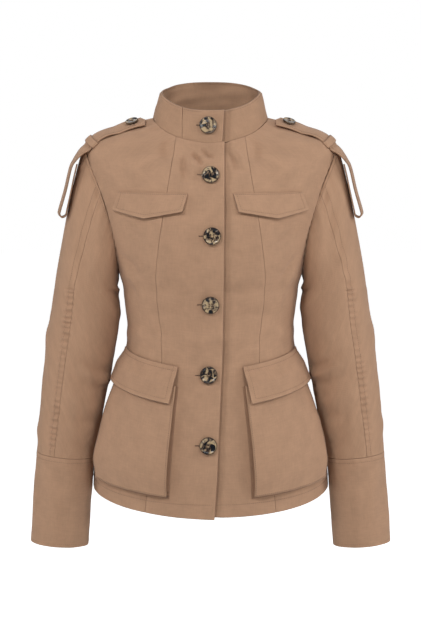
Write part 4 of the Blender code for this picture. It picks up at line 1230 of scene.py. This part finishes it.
def strap_grid(out):
    """The strap's outer face, lifted by out: along the shoulder, then down its hanging loop."""
    across = np.linspace(-STRAP_HALF, STRAP_HALF, STRAP_COLUMNS)
    levels = np.linspace(*STRAP_LEVELS, STRAP_ROWS)
    sewn = sewn_edge(STRAP_HALF - np.abs(across), STRAP_STITCH)
    rise = STRAP_RISE * smooth((levels - STRAP_RISE_FROM) / 0.4)
    share = (levels - CARRIER_LEVELS[1]) / (STRAP_RISE_FROM - CARRIER_LEVELS[1])
    bow = STRAP_BOW * np.sin(math.pi * np.clip(share, 0, 1))
    lean = 1 - STRAP_BOW_LEAN * across / STRAP_HALF
    lift = cloth_set().clear + cloth_set().strap_wall + rise[:, None] + bow[:, None] * lean
    high = strap_rows(levels, across, lift + sewn + out)
    last = strap_rows(levels[[-6, -1]], across, lift[[-6, -1]])
    knots = np.concatenate([last, strap_hang(across)])
    fine = np.linspace(1, len(knots) - 1, LOOP_ROWS)[1:]
    loop = curve_through(knots.reshape(len(knots), -1), fine).reshape(len(fine), -1, 3)
    outward = unit(np.cross(np.gradient(loop, axis=0), np.gradient(loop, axis=1)))
    return np.concatenate([high, loop + outward * (out + sewn)[:, None]])


def make_straps():
    outer, inner = strap_grid(0.0), strap_grid(-cloth_set().strap_wall)
    for side, word in SIDES:
        sewn_piece(f"shoulder_strap_{word}", "shoulder_strap", outer, inner, side, [f"front_side_{word}"])


def make_carriers():
    """The cloth loops that the straps run through: each rises over its strap and falls beside it."""
    clear = cloth_set().clear
    levels = np.linspace(*CARRIER_LEVELS[::-1], 7)
    over = clear + cloth_set().strap_wall + CARRIER_CLEAR + CARRIER_EASE
    flat = np.linspace(-1, 1, 17) * (STRAP_HALF + CARRIER_EASE)
    foot = STRAP_HALF + np.array(CARRIER_FOOT)
    across = np.concatenate([-foot, flat, foot[::-1]])
    lift = clear + (over - clear) * np.concatenate([CARRIER_FALL, np.ones(len(flat)), CARRIER_FALL[::-1]])
    inner, outer = (strap_rows(levels, across, lift + out) for out in (0.0, cloth_set().wall))
    for side, word in SIDES:
        sewn_piece(f"strap_carrier_{word}", "strap_carrier", outer, inner, side, [f"shoulder_strap_{word}"])


def deselect():
    bpy.ops.object.select_all(action="DESELECT")


def drill(made, radius, depth, place):
    """Cuts a round hole through a model with a cylinder."""
    deselect()
    bpy.ops.mesh.primitive_cylinder_add(vertices=16, radius=radius, depth=depth, location=place)
    cutter = bpy.context.object
    deselect()
    made.select_set(True)
    bpy.context.view_layer.objects.active = made
    cut = made.modifiers.new("hole", "BOOLEAN")
    cut.operation, cut.solver, cut.object = "DIFFERENCE", "EXACT", cutter
    bpy.ops.object.modifier_apply(modifier=cut.name)
    bpy.data.objects.remove(cutter, do_unlink=True)


def button_model(radius, thick):
    """A button at the origin: a disc with a raised rim, a dished middle and four holes."""
    choice = bpy.context.scene.jacket_buttons
    deselect()
    bpy.ops.mesh.primitive_cylinder_add(vertices=64, radius=radius, depth=thick, location=(0, 0, thick / 2))
    made = bpy.context.object
    bpy.ops.object.transform_apply(location=True, rotation=True, scale=True)
    bpy.ops.object.mode_set(mode="EDIT")
    bpy.ops.mesh.select_mode(type="FACE")
    bpy.ops.mesh.select_all(action="DESELECT")
    bpy.ops.object.mode_set(mode="OBJECT")
    for face in made.data.polygons:
        face.select = face.normal.z > 0.9
    bpy.ops.object.mode_set(mode="EDIT")
    for width, sink in BUTTON_STEPS:
        bpy.ops.mesh.inset(thickness=radius * width, depth=thick * sink)
    bpy.ops.object.mode_set(mode="OBJECT")
    bevel = made.modifiers.new("rounded", "BEVEL")
    bevel.width, bevel.segments = thick * BUTTON_BEVEL, 3
    bevel.limit_method, bevel.angle_limit = "ANGLE", math.radians(25)
    bpy.ops.object.modifier_apply(modifier=bevel.name)
    scale = radius / choice.radius
    apart = choice.hole_apart * scale
    for dx, dy in ((1, 1), (-1, 1), (-1, -1), (1, -1)):
        drill(made, choice.hole * scale, 4 * thick, (dx * apart, dy * apart, 0))
    bpy.ops.object.shade_smooth_by_angle(angle=math.radians(38))
    # Marks the outer rim, where shade is painted into the colour
    rim = made.data.attributes.new("rim", "FLOAT", "POINT")
    from_middle = [math.hypot(*point.co.xy) / radius for point in made.data.vertices]
    rim.data.foreach_set("value", [min(max((share - RIM_FROM) / RIM_EASE, 0), 1) for share in from_middle])
    return made


def upright(place, normal, lift):
    """The matrix that sets a button on the cloth, its face along the cloth's normal."""
    turn = Vector(normal).to_track_quat("Z", "Y").to_matrix().to_4x4()
    return Matrix.Translation(Vector(place) + Vector(normal).normalized() * lift) @ turn


def set_button(model, name, where):
    """A copy of the button with its own mesh, set on the cloth."""
    mesh = model.data.copy()
    mesh.transform(where)
    mesh.materials.clear()
    mesh.materials.append(resin())
    return dress(linked(name, mesh), name)


def button_places():
    """Where every button sits: its name, its radius and the matrix that sets it there."""
    choice, places = bpy.context.scene.jacket_buttons, []

    def add(name, skin, angle, along, lift):
        near, far = moved_out(skin, angle, along, 0.0), moved_out(skin, angle, along, 1.0)
        places.append((name, choice.radius, upright(near, far - near, lift)))

    x, up = map(np.float64, COLLAR_BUTTON)
    add("front_button_1", collar_skin, angle_of(x, NECK), up, BUTTON_LIFTS["collar"])
    for number, (x, z) in FRONT_BUTTONS.items():
        level = level_of(0.0, z)
        angle = angle_of(np.float64(x), level)
        add(f"front_button_{number}", body_skin, angle, level, BUTTON_LIFTS["front"])
    levels = np.array([STRAP_BUTTON_LEVEL])
    foot = cloth_set().clear + STRAP_RISE + cloth_set().strap_wall
    near, far = (strap_rows(levels, np.zeros(1), out)[0, 0] for out in (foot, 1.0))
    for side, word in SIDES:
        turned = np.array([side, 1, 1])
        where = upright(near * turned, unit(far - near) * turned, BUTTON_LIFTS["strap"])
        places.append((f"strap_button_{word}", choice.strap_radius, where))
    return places


def button_thickness(radius):
    choice = bpy.context.scene.jacket_buttons
    return choice.thick * (radius / choice.radius) ** 0.5


def make_buttons():
    choice = bpy.context.scene.jacket_buttons
    sizes = (choice.radius, choice.strap_radius)
    models = {radius: button_model(radius, button_thickness(radius)) for radius in sizes}
    for name, radius, where in button_places():
        set_button(models[radius], name, where)
    for model in models.values():
        bpy.data.objects.remove(model, do_unlink=True)


def stitches(path, normals, pitch, size, radius):
    """Points and faces of a run of stitches that lie along a path on the cloth."""
    run = run_lengths(path[:, None], 0)[:, 0]
    count = max(int(run[-1] // pitch), 1)
    middle = (np.arange(count) + 0.5) * run[-1] / count

    def on_path(at, rows):
        return np.stack([np.interp(np.clip(at, 0, run[-1]), run, rows[:, n]) for n in range(3)], -1)

    place, up = on_path(middle, path), unit(on_path(middle, normals))
    way = unit(on_path(middle + 1e-4, path) - on_path(middle - 1e-4, path))
    side = unit(np.cross(way, up))
    turns = np.arange(6) * TURN / 6
    around = side[:, None] * np.cos(turns)[None, :, None] + up[:, None] * np.sin(turns)[None, :, None]
    half, points = size / 2, []
    for share, wide, rise in STITCH_RINGS:
        base = (place + way * half * share + up * radius * rise)[:, None]
        points.append(base + around * radius if wide else base)
    faces = []
    for n in range(6):
        m = (n + 1) % 6
        faces += [(0, 1 + m, 1 + n), (1 + n, 1 + m, 7 + m), (1 + n, 7 + m, 7 + n), (13, 7 + n, 7 + m)]
    faces = np.array(faces)[None] + np.arange(count)[:, None, None] * 14
    return np.concatenate(points, 1).reshape(-1, 3), faces.reshape(-1, 3)


def sew(name, runs, finish, pitch=None, size=None, radius=None):
    """One piece of stitching from many runs, each a (path, normals) pair."""
    choice = bpy.context.scene.jacket_sewing
    points, faces, start = [], [], 0
    for path, normals in runs:
        spots, corners = stitches(
            path, normals, pitch or choice.pitch, size or choice.stitch, radius or choice.thread
        )
        points.append(spots)
        faces.append(corners + start)
        start += len(spots)
    made = add_mesh(name, np.concatenate(points), np.concatenate(faces), finish)
    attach(made, "root")


def sewing_thread():
    return thread("sewing_thread", bpy.context.scene.jacket_sewing.colour)


def on_face(face, across, down, side=1):
    """A run of stitches on a face function: its points and their normals."""
    across, down = np.broadcast_arrays(across, down)
    low = face(across, down, 0.0)
    normal = unit(face(across, down, 2e-3) - low)
    return low * (side, 1, 1), normal * (side, 1, 1)


def straight(face, side, *corners):
    """Straight runs of stitches on a face, from corner to corner."""
    share = np.linspace(0, 1, 60)
    return [
        on_face(face, a[0] + (b[0] - a[0]) * share, a[1] + (b[1] - a[1]) * share, side)
        for a, b in zip(corners[:-1], corners[1:])
    ]


def flap_runs(face, side, size, inset):
    """Stitching round a flap: down one side, along the lower edge and up the other."""
    du, dv = inset / size[0], inset / size[1]
    return straight(face, side, (du, 0.0), (du, 1 - dv), (1 - du, 1 - dv), (1 - du, 0.0))


def stitch_flaps():
    wall, runs = cloth_set().flap_wall, []
    for side, _ in SIDES:
        def chest(u, v, out):
            return chest_flap_point(u, v, chest_flap_lift(u, v) + wall + out, side)

        def hip(u, v, out):
            return body_point(*on_front(HIP_FLAP, u, v), hip_flap_lift(u, v) + wall + out, side)

        def pocket(u, v, out):
            return body_point(*on_front(HIP_POCKET, u, v), pocket_lift(u, v, 1.0, side) + out, side)

        runs += flap_runs(chest, side, CHEST_FLAP_SIZE, CHEST_STITCH)
        runs += straight(chest, side, (0.01, 0.06), (0.99, 0.06))
        runs += flap_runs(hip, side, HIP_FLAP_SIZE, HIP_STITCH)
        runs += straight(hip, side, (0.01, 0.12), (0.99, 0.12))
        runs += flap_runs(pocket, side, POCKET_SIZE, POCKET_STITCH)
    sew("flap_stitching", runs, sewing_thread())


def stitch_sleeves():
    """Beside both sleeve seams, round the armhole, and on the cuff's band and edge."""
    runs, off = [], 0.0085 / ARM_ROUND
    along, angle = np.linspace(-0.93, CUFF_SEAM - 0.03, 260), np.linspace(0, TURN, 240)
    for side, _ in SIDES:
        def sleeve(angle, along, out):
            return sleeve_point(angle, along, sleeve_relief(angle, along, side) + out)

        def cuff(angle, along, out):
            return sleeve(angle, along, 0.0002 + out)

        runs.append(on_face(sleeve, SEAM_ANGLE_FRONT - off, along, side))
        runs.append(on_face(sleeve, SEAM_ANGLE_BACK - TURN + off, along, side))
        runs.append(on_face(cuff, angle, CUFF_SEAM + 0.1071, side))
        runs.append(on_face(cuff, angle, CUFF_EDGE - 0.12, side))
        runs.append(on_face(sleeve, angle, -0.93, side))
    sew("sleeve_stitching", runs, sewing_thread())


def stitch_body():
    """Down the front's edge, round the hem and round the collar's top."""
    def right_front(angle, level, out):
        return body_point(angle, level, out, -1)

    levels = np.linspace(0.12, NECK - 0.05, 420)
    edge = angle_of(0.004 - column(levels, "lap"), levels)
    runs = [
        on_face(right_front, edge, levels, -1),
        on_face(body_point, np.linspace(0, TURN, 900), 0.40),
        on_face(collar_point, np.linspace(0, TURN, 500), 0.93),
    ]
    sew("body_stitching", runs, sewing_thread())


def stitch_straps():
    low, high = strap_grid(0.0), strap_grid(0.002)
    spread = np.linspace(-STRAP_HALF, STRAP_HALF, STRAP_COLUMNS)
    runs = []
    for side, _ in SIDES:
        for across in (STRAP_STITCH - STRAP_HALF, STRAP_HALF - STRAP_STITCH):
            pick = np.argmin(np.abs(spread - across))
            path, out = low[3:-2, pick], high[3:-2, pick]
            runs.append((path * (side, 1, 1), unit(out - path) * (side, 1, 1)))
    sew("strap_stitching", runs, sewing_thread())


def make_buttonholes():
    """A worked buttonhole behind each front button: two lips of thread that reach out beside it."""
    def front(angle, level, out):
        return body_point(-angle, level, out, -1) * (-1, 1, 1)

    runs, (tab_x, up) = [], COLLAR_BUTTON
    for rise in (-HOLE_LIP, HOLE_LIP):
        for x, z in FRONT_BUTTONS.values():
            line = np.linspace(x - 0.0205, x + 0.004, 30)
            levels = level_of(0.0, z + rise) + 0 * line
            runs.append(on_face(front, angle_of(line, levels), levels))
        line = np.linspace(tab_x - 0.0180, tab_x + 0.004, 30)
        runs.append(on_face(collar_point, angle_of(line, NECK), up + rise / 0.058))
    finish = thread("buttonhole_thread", bpy.context.scene.jacket_sewing.hole_colour)
    sew("buttonholes", runs, finish, pitch=0.0011, size=0.0013, radius=0.00042)


def make_button_threads():
    """Thread crossing between the four holes of each button."""
    choice, runs = bpy.context.scene.jacket_buttons, []
    shares = np.linspace(-1, 1, 7)
    for _, radius, where in button_places():
        apart = choice.hole_apart * radius / choice.radius
        heights = button_thickness(radius) * 0.72 + 0.0004 * (1 - np.abs(shares) ** 3)
        out = np.array(where.to_3x3().col[2])
        for side in (-1, 1):
            for shift in (-0.0003, 0.0003):
                x = side * apart + shift
                spots = [Vector((x, share * apart, z)) for share, z in zip(shares, heights)]
                path = np.array([where @ spot for spot in spots])
                runs.append((path, np.repeat(out[None], len(path), 0)))
    sew("button_threads", runs, sewing_thread(), pitch=0.0042, size=0.0046, radius=0.00024)


def area_light(name, place, size, power):
    data = bpy.data.lights.new(name, "AREA")
    data.shape, data.energy = "RECTANGLE", power
    data.size, data.size_y = size
    made = bpy.data.objects.new(name, data)
    made.location = place
    made.rotation_euler = (Vector(LIT_PLACE) - Vector(place)).to_track_quat("-Z", "Y").to_euler()
    bpy.context.scene.collection.objects.link(made)


def make_floor():
    choice = bpy.context.scene.jacket_stage
    deselect()
    bpy.ops.mesh.primitive_circle_add(
        vertices=96, radius=choice.floor_radius, fill_type="NGON", location=(0, 0, choice.floor_height)
    )
    floor = bpy.context.object
    floor.name = "floor"
    bpy.ops.object.transform_apply(location=True, rotation=True, scale=True)
    paint, tree, finish = new_material("pale_floor")
    finish["Base Color"].default_value = (*choice.floor_colour, 1)
    finish["Roughness"].default_value = 0.9
    finish["Emission Color"].default_value = (1, 1, 1, 1)
    path = tree.nodes.new("ShaderNodeLightPath")
    glow = math_node(tree, "MULTIPLY", path.outputs["Is Camera Ray"], choice.floor_glow)
    feed(tree, finish["Emission Strength"], glow)
    floor.data.materials.append(paint)


def make_sky():
    """White where the camera sees it, and a weak light from all round elsewhere."""
    ambient, scene = bpy.context.scene.jacket_stage.ambient, bpy.context.scene
    scene.view_settings.view_transform = "Standard"
    scene.world = scene.world or bpy.data.worlds.new("studio")
    scene.world.use_nodes = True
    tree = scene.world.node_tree
    sky = tree.nodes["Background"].inputs
    sky["Color"].default_value = (1, 1, 1, 1)
    path = tree.nodes.new("ShaderNodeLightPath")
    seen = math_node(tree, "MULTIPLY_ADD", path.outputs["Is Camera Ray"], 1.0 - ambient, ambient)
    feed(tree, sky["Strength"], seen)


def make_camera():
    choice, scene = bpy.context.scene.jacket_stage, bpy.context.scene
    data = bpy.data.cameras.new("camera")
    data.lens, data.sensor_width, data.clip_end = choice.lens, 36, 60
    camera = bpy.data.objects.new("camera", data)
    camera.location = (0, -choice.camera_distance, 0)
    camera.rotation_euler = (math.radians(90 - choice.camera_tilt), 0, 0)
    scene.collection.objects.link(camera)
    scene.camera = camera


def make_stage():
    make_floor()
    for light in LIGHTS:
        area_light(*light)
    make_sky()
    make_camera()


class JACKET_OT_stage(bpy.types.Operator):
    """Adds the floor, the lights and the camera"""
    bl_idname = "jacket.stage"
    bl_label = "Stage"

    def execute(self, context):
        make_stage()
        return {"FINISHED"}


class JACKET_OT_body(bpy.types.Operator):
    """Adds the seven body panels with their folds"""
    bl_idname = "jacket.body"
    bl_label = "Body panels"

    def execute(self, context):
        make_body()
        return {"FINISHED"}


class JACKET_OT_collar(bpy.types.Operator):
    """Adds the collar band and its tab"""
    bl_idname = "jacket.collar"
    bl_label = "Collar"

    def execute(self, context):
        make_collar()
        return {"FINISHED"}


class JACKET_OT_sleeves(bpy.types.Operator):
    """Adds both two-piece sleeves"""
    bl_idname = "jacket.sleeves"
    bl_label = "Sleeves"

    def execute(self, context):
        make_sleeves()
        return {"FINISHED"}


class JACKET_OT_cuffs(bpy.types.Operator):
    """Adds the deep cuff bands"""
    bl_idname = "jacket.cuffs"
    bl_label = "Cuffs"

    def execute(self, context):
        make_cuffs()
        return {"FINISHED"}


class JACKET_OT_chest_flaps(bpy.types.Operator):
    """Adds the pointed chest flaps"""
    bl_idname = "jacket.chest_flaps"
    bl_label = "Chest flaps"

    def execute(self, context):
        make_chest_flaps()
        return {"FINISHED"}


class JACKET_OT_hip_pockets(bpy.types.Operator):
    """Adds the bellows pockets and their flaps"""
    bl_idname = "jacket.hip_pockets"
    bl_label = "Hip pockets"

    def execute(self, context):
        make_hip_pockets()
        make_hip_flaps()
        return {"FINISHED"}


class JACKET_OT_straps(bpy.types.Operator):
    """Adds the shoulder straps and their carriers"""
    bl_idname = "jacket.straps"
    bl_label = "Shoulder straps"

    def execute(self, context):
        make_straps()
        make_carriers()
        return {"FINISHED"}


class JACKET_OT_buttons(bpy.types.Operator):
    """Adds the buttons and the thread in their holes"""
    bl_idname = "jacket.buttons"
    bl_label = "Buttons"

    def execute(self, context):
        make_buttons()
        make_button_threads()
        return {"FINISHED"}


class JACKET_OT_sewing(bpy.types.Operator):
    """Adds the topstitching and the buttonholes"""
    bl_idname = "jacket.sewing"
    bl_label = "Sewing"

    def execute(self, context):
        for sew_on in (stitch_flaps, stitch_sleeves, stitch_body, stitch_straps, make_buttonholes):
            sew_on()
        return {"FINISHED"}


OPERATORS = (
    JACKET_OT_stage, JACKET_OT_body, JACKET_OT_collar, JACKET_OT_sleeves, JACKET_OT_cuffs,
    JACKET_OT_chest_flaps, JACKET_OT_hip_pockets, JACKET_OT_straps, JACKET_OT_buttons,
    JACKET_OT_sewing,
)


class JACKET_PT_pieces(bpy.types.Panel):
    """Lists the jacket's pieces and their sizes"""
    bl_idname = "JACKET_PT_pieces"
    bl_label = "Field jacket"
    bl_space_type = "VIEW_3D"
    bl_region_type = "UI"
    bl_category = "Jacket"

    def draw(self, context):
        for operator in OPERATORS:
            self.layout.operator(operator.bl_idname)
        for name in SETTINGS:
            choice = getattr(context.scene, name)
            box = self.layout.box()
            for field in choice.__annotations__:
                box.prop(choice, field)


SETTINGS = {
    "jacket_cloth": JacketCloth,
    "jacket_sewing": JacketSewing,
    "jacket_buttons": JacketButtons,
    "jacket_stage": JacketStage,
}
CLASSES = (*SETTINGS.values(), *OPERATORS, JACKET_PT_pieces)


def register():
    for made in CLASSES:
        bpy.utils.register_class(made)
    for name, kind in SETTINGS.items():
        setattr(bpy.types.Scene, name, PointerProperty(type=kind))


def unregister():
    for name in SETTINGS:
        delattr(bpy.types.Scene, name)
    for made in reversed(CLASSES):
        bpy.utils.unregister_class(made)


def main():
    register()
    for operator in OPERATORS:
        family, name = operator.bl_idname.split(".")
        getattr(getattr(bpy.ops, family), name)()


if __name__ == "__main__":
    main()
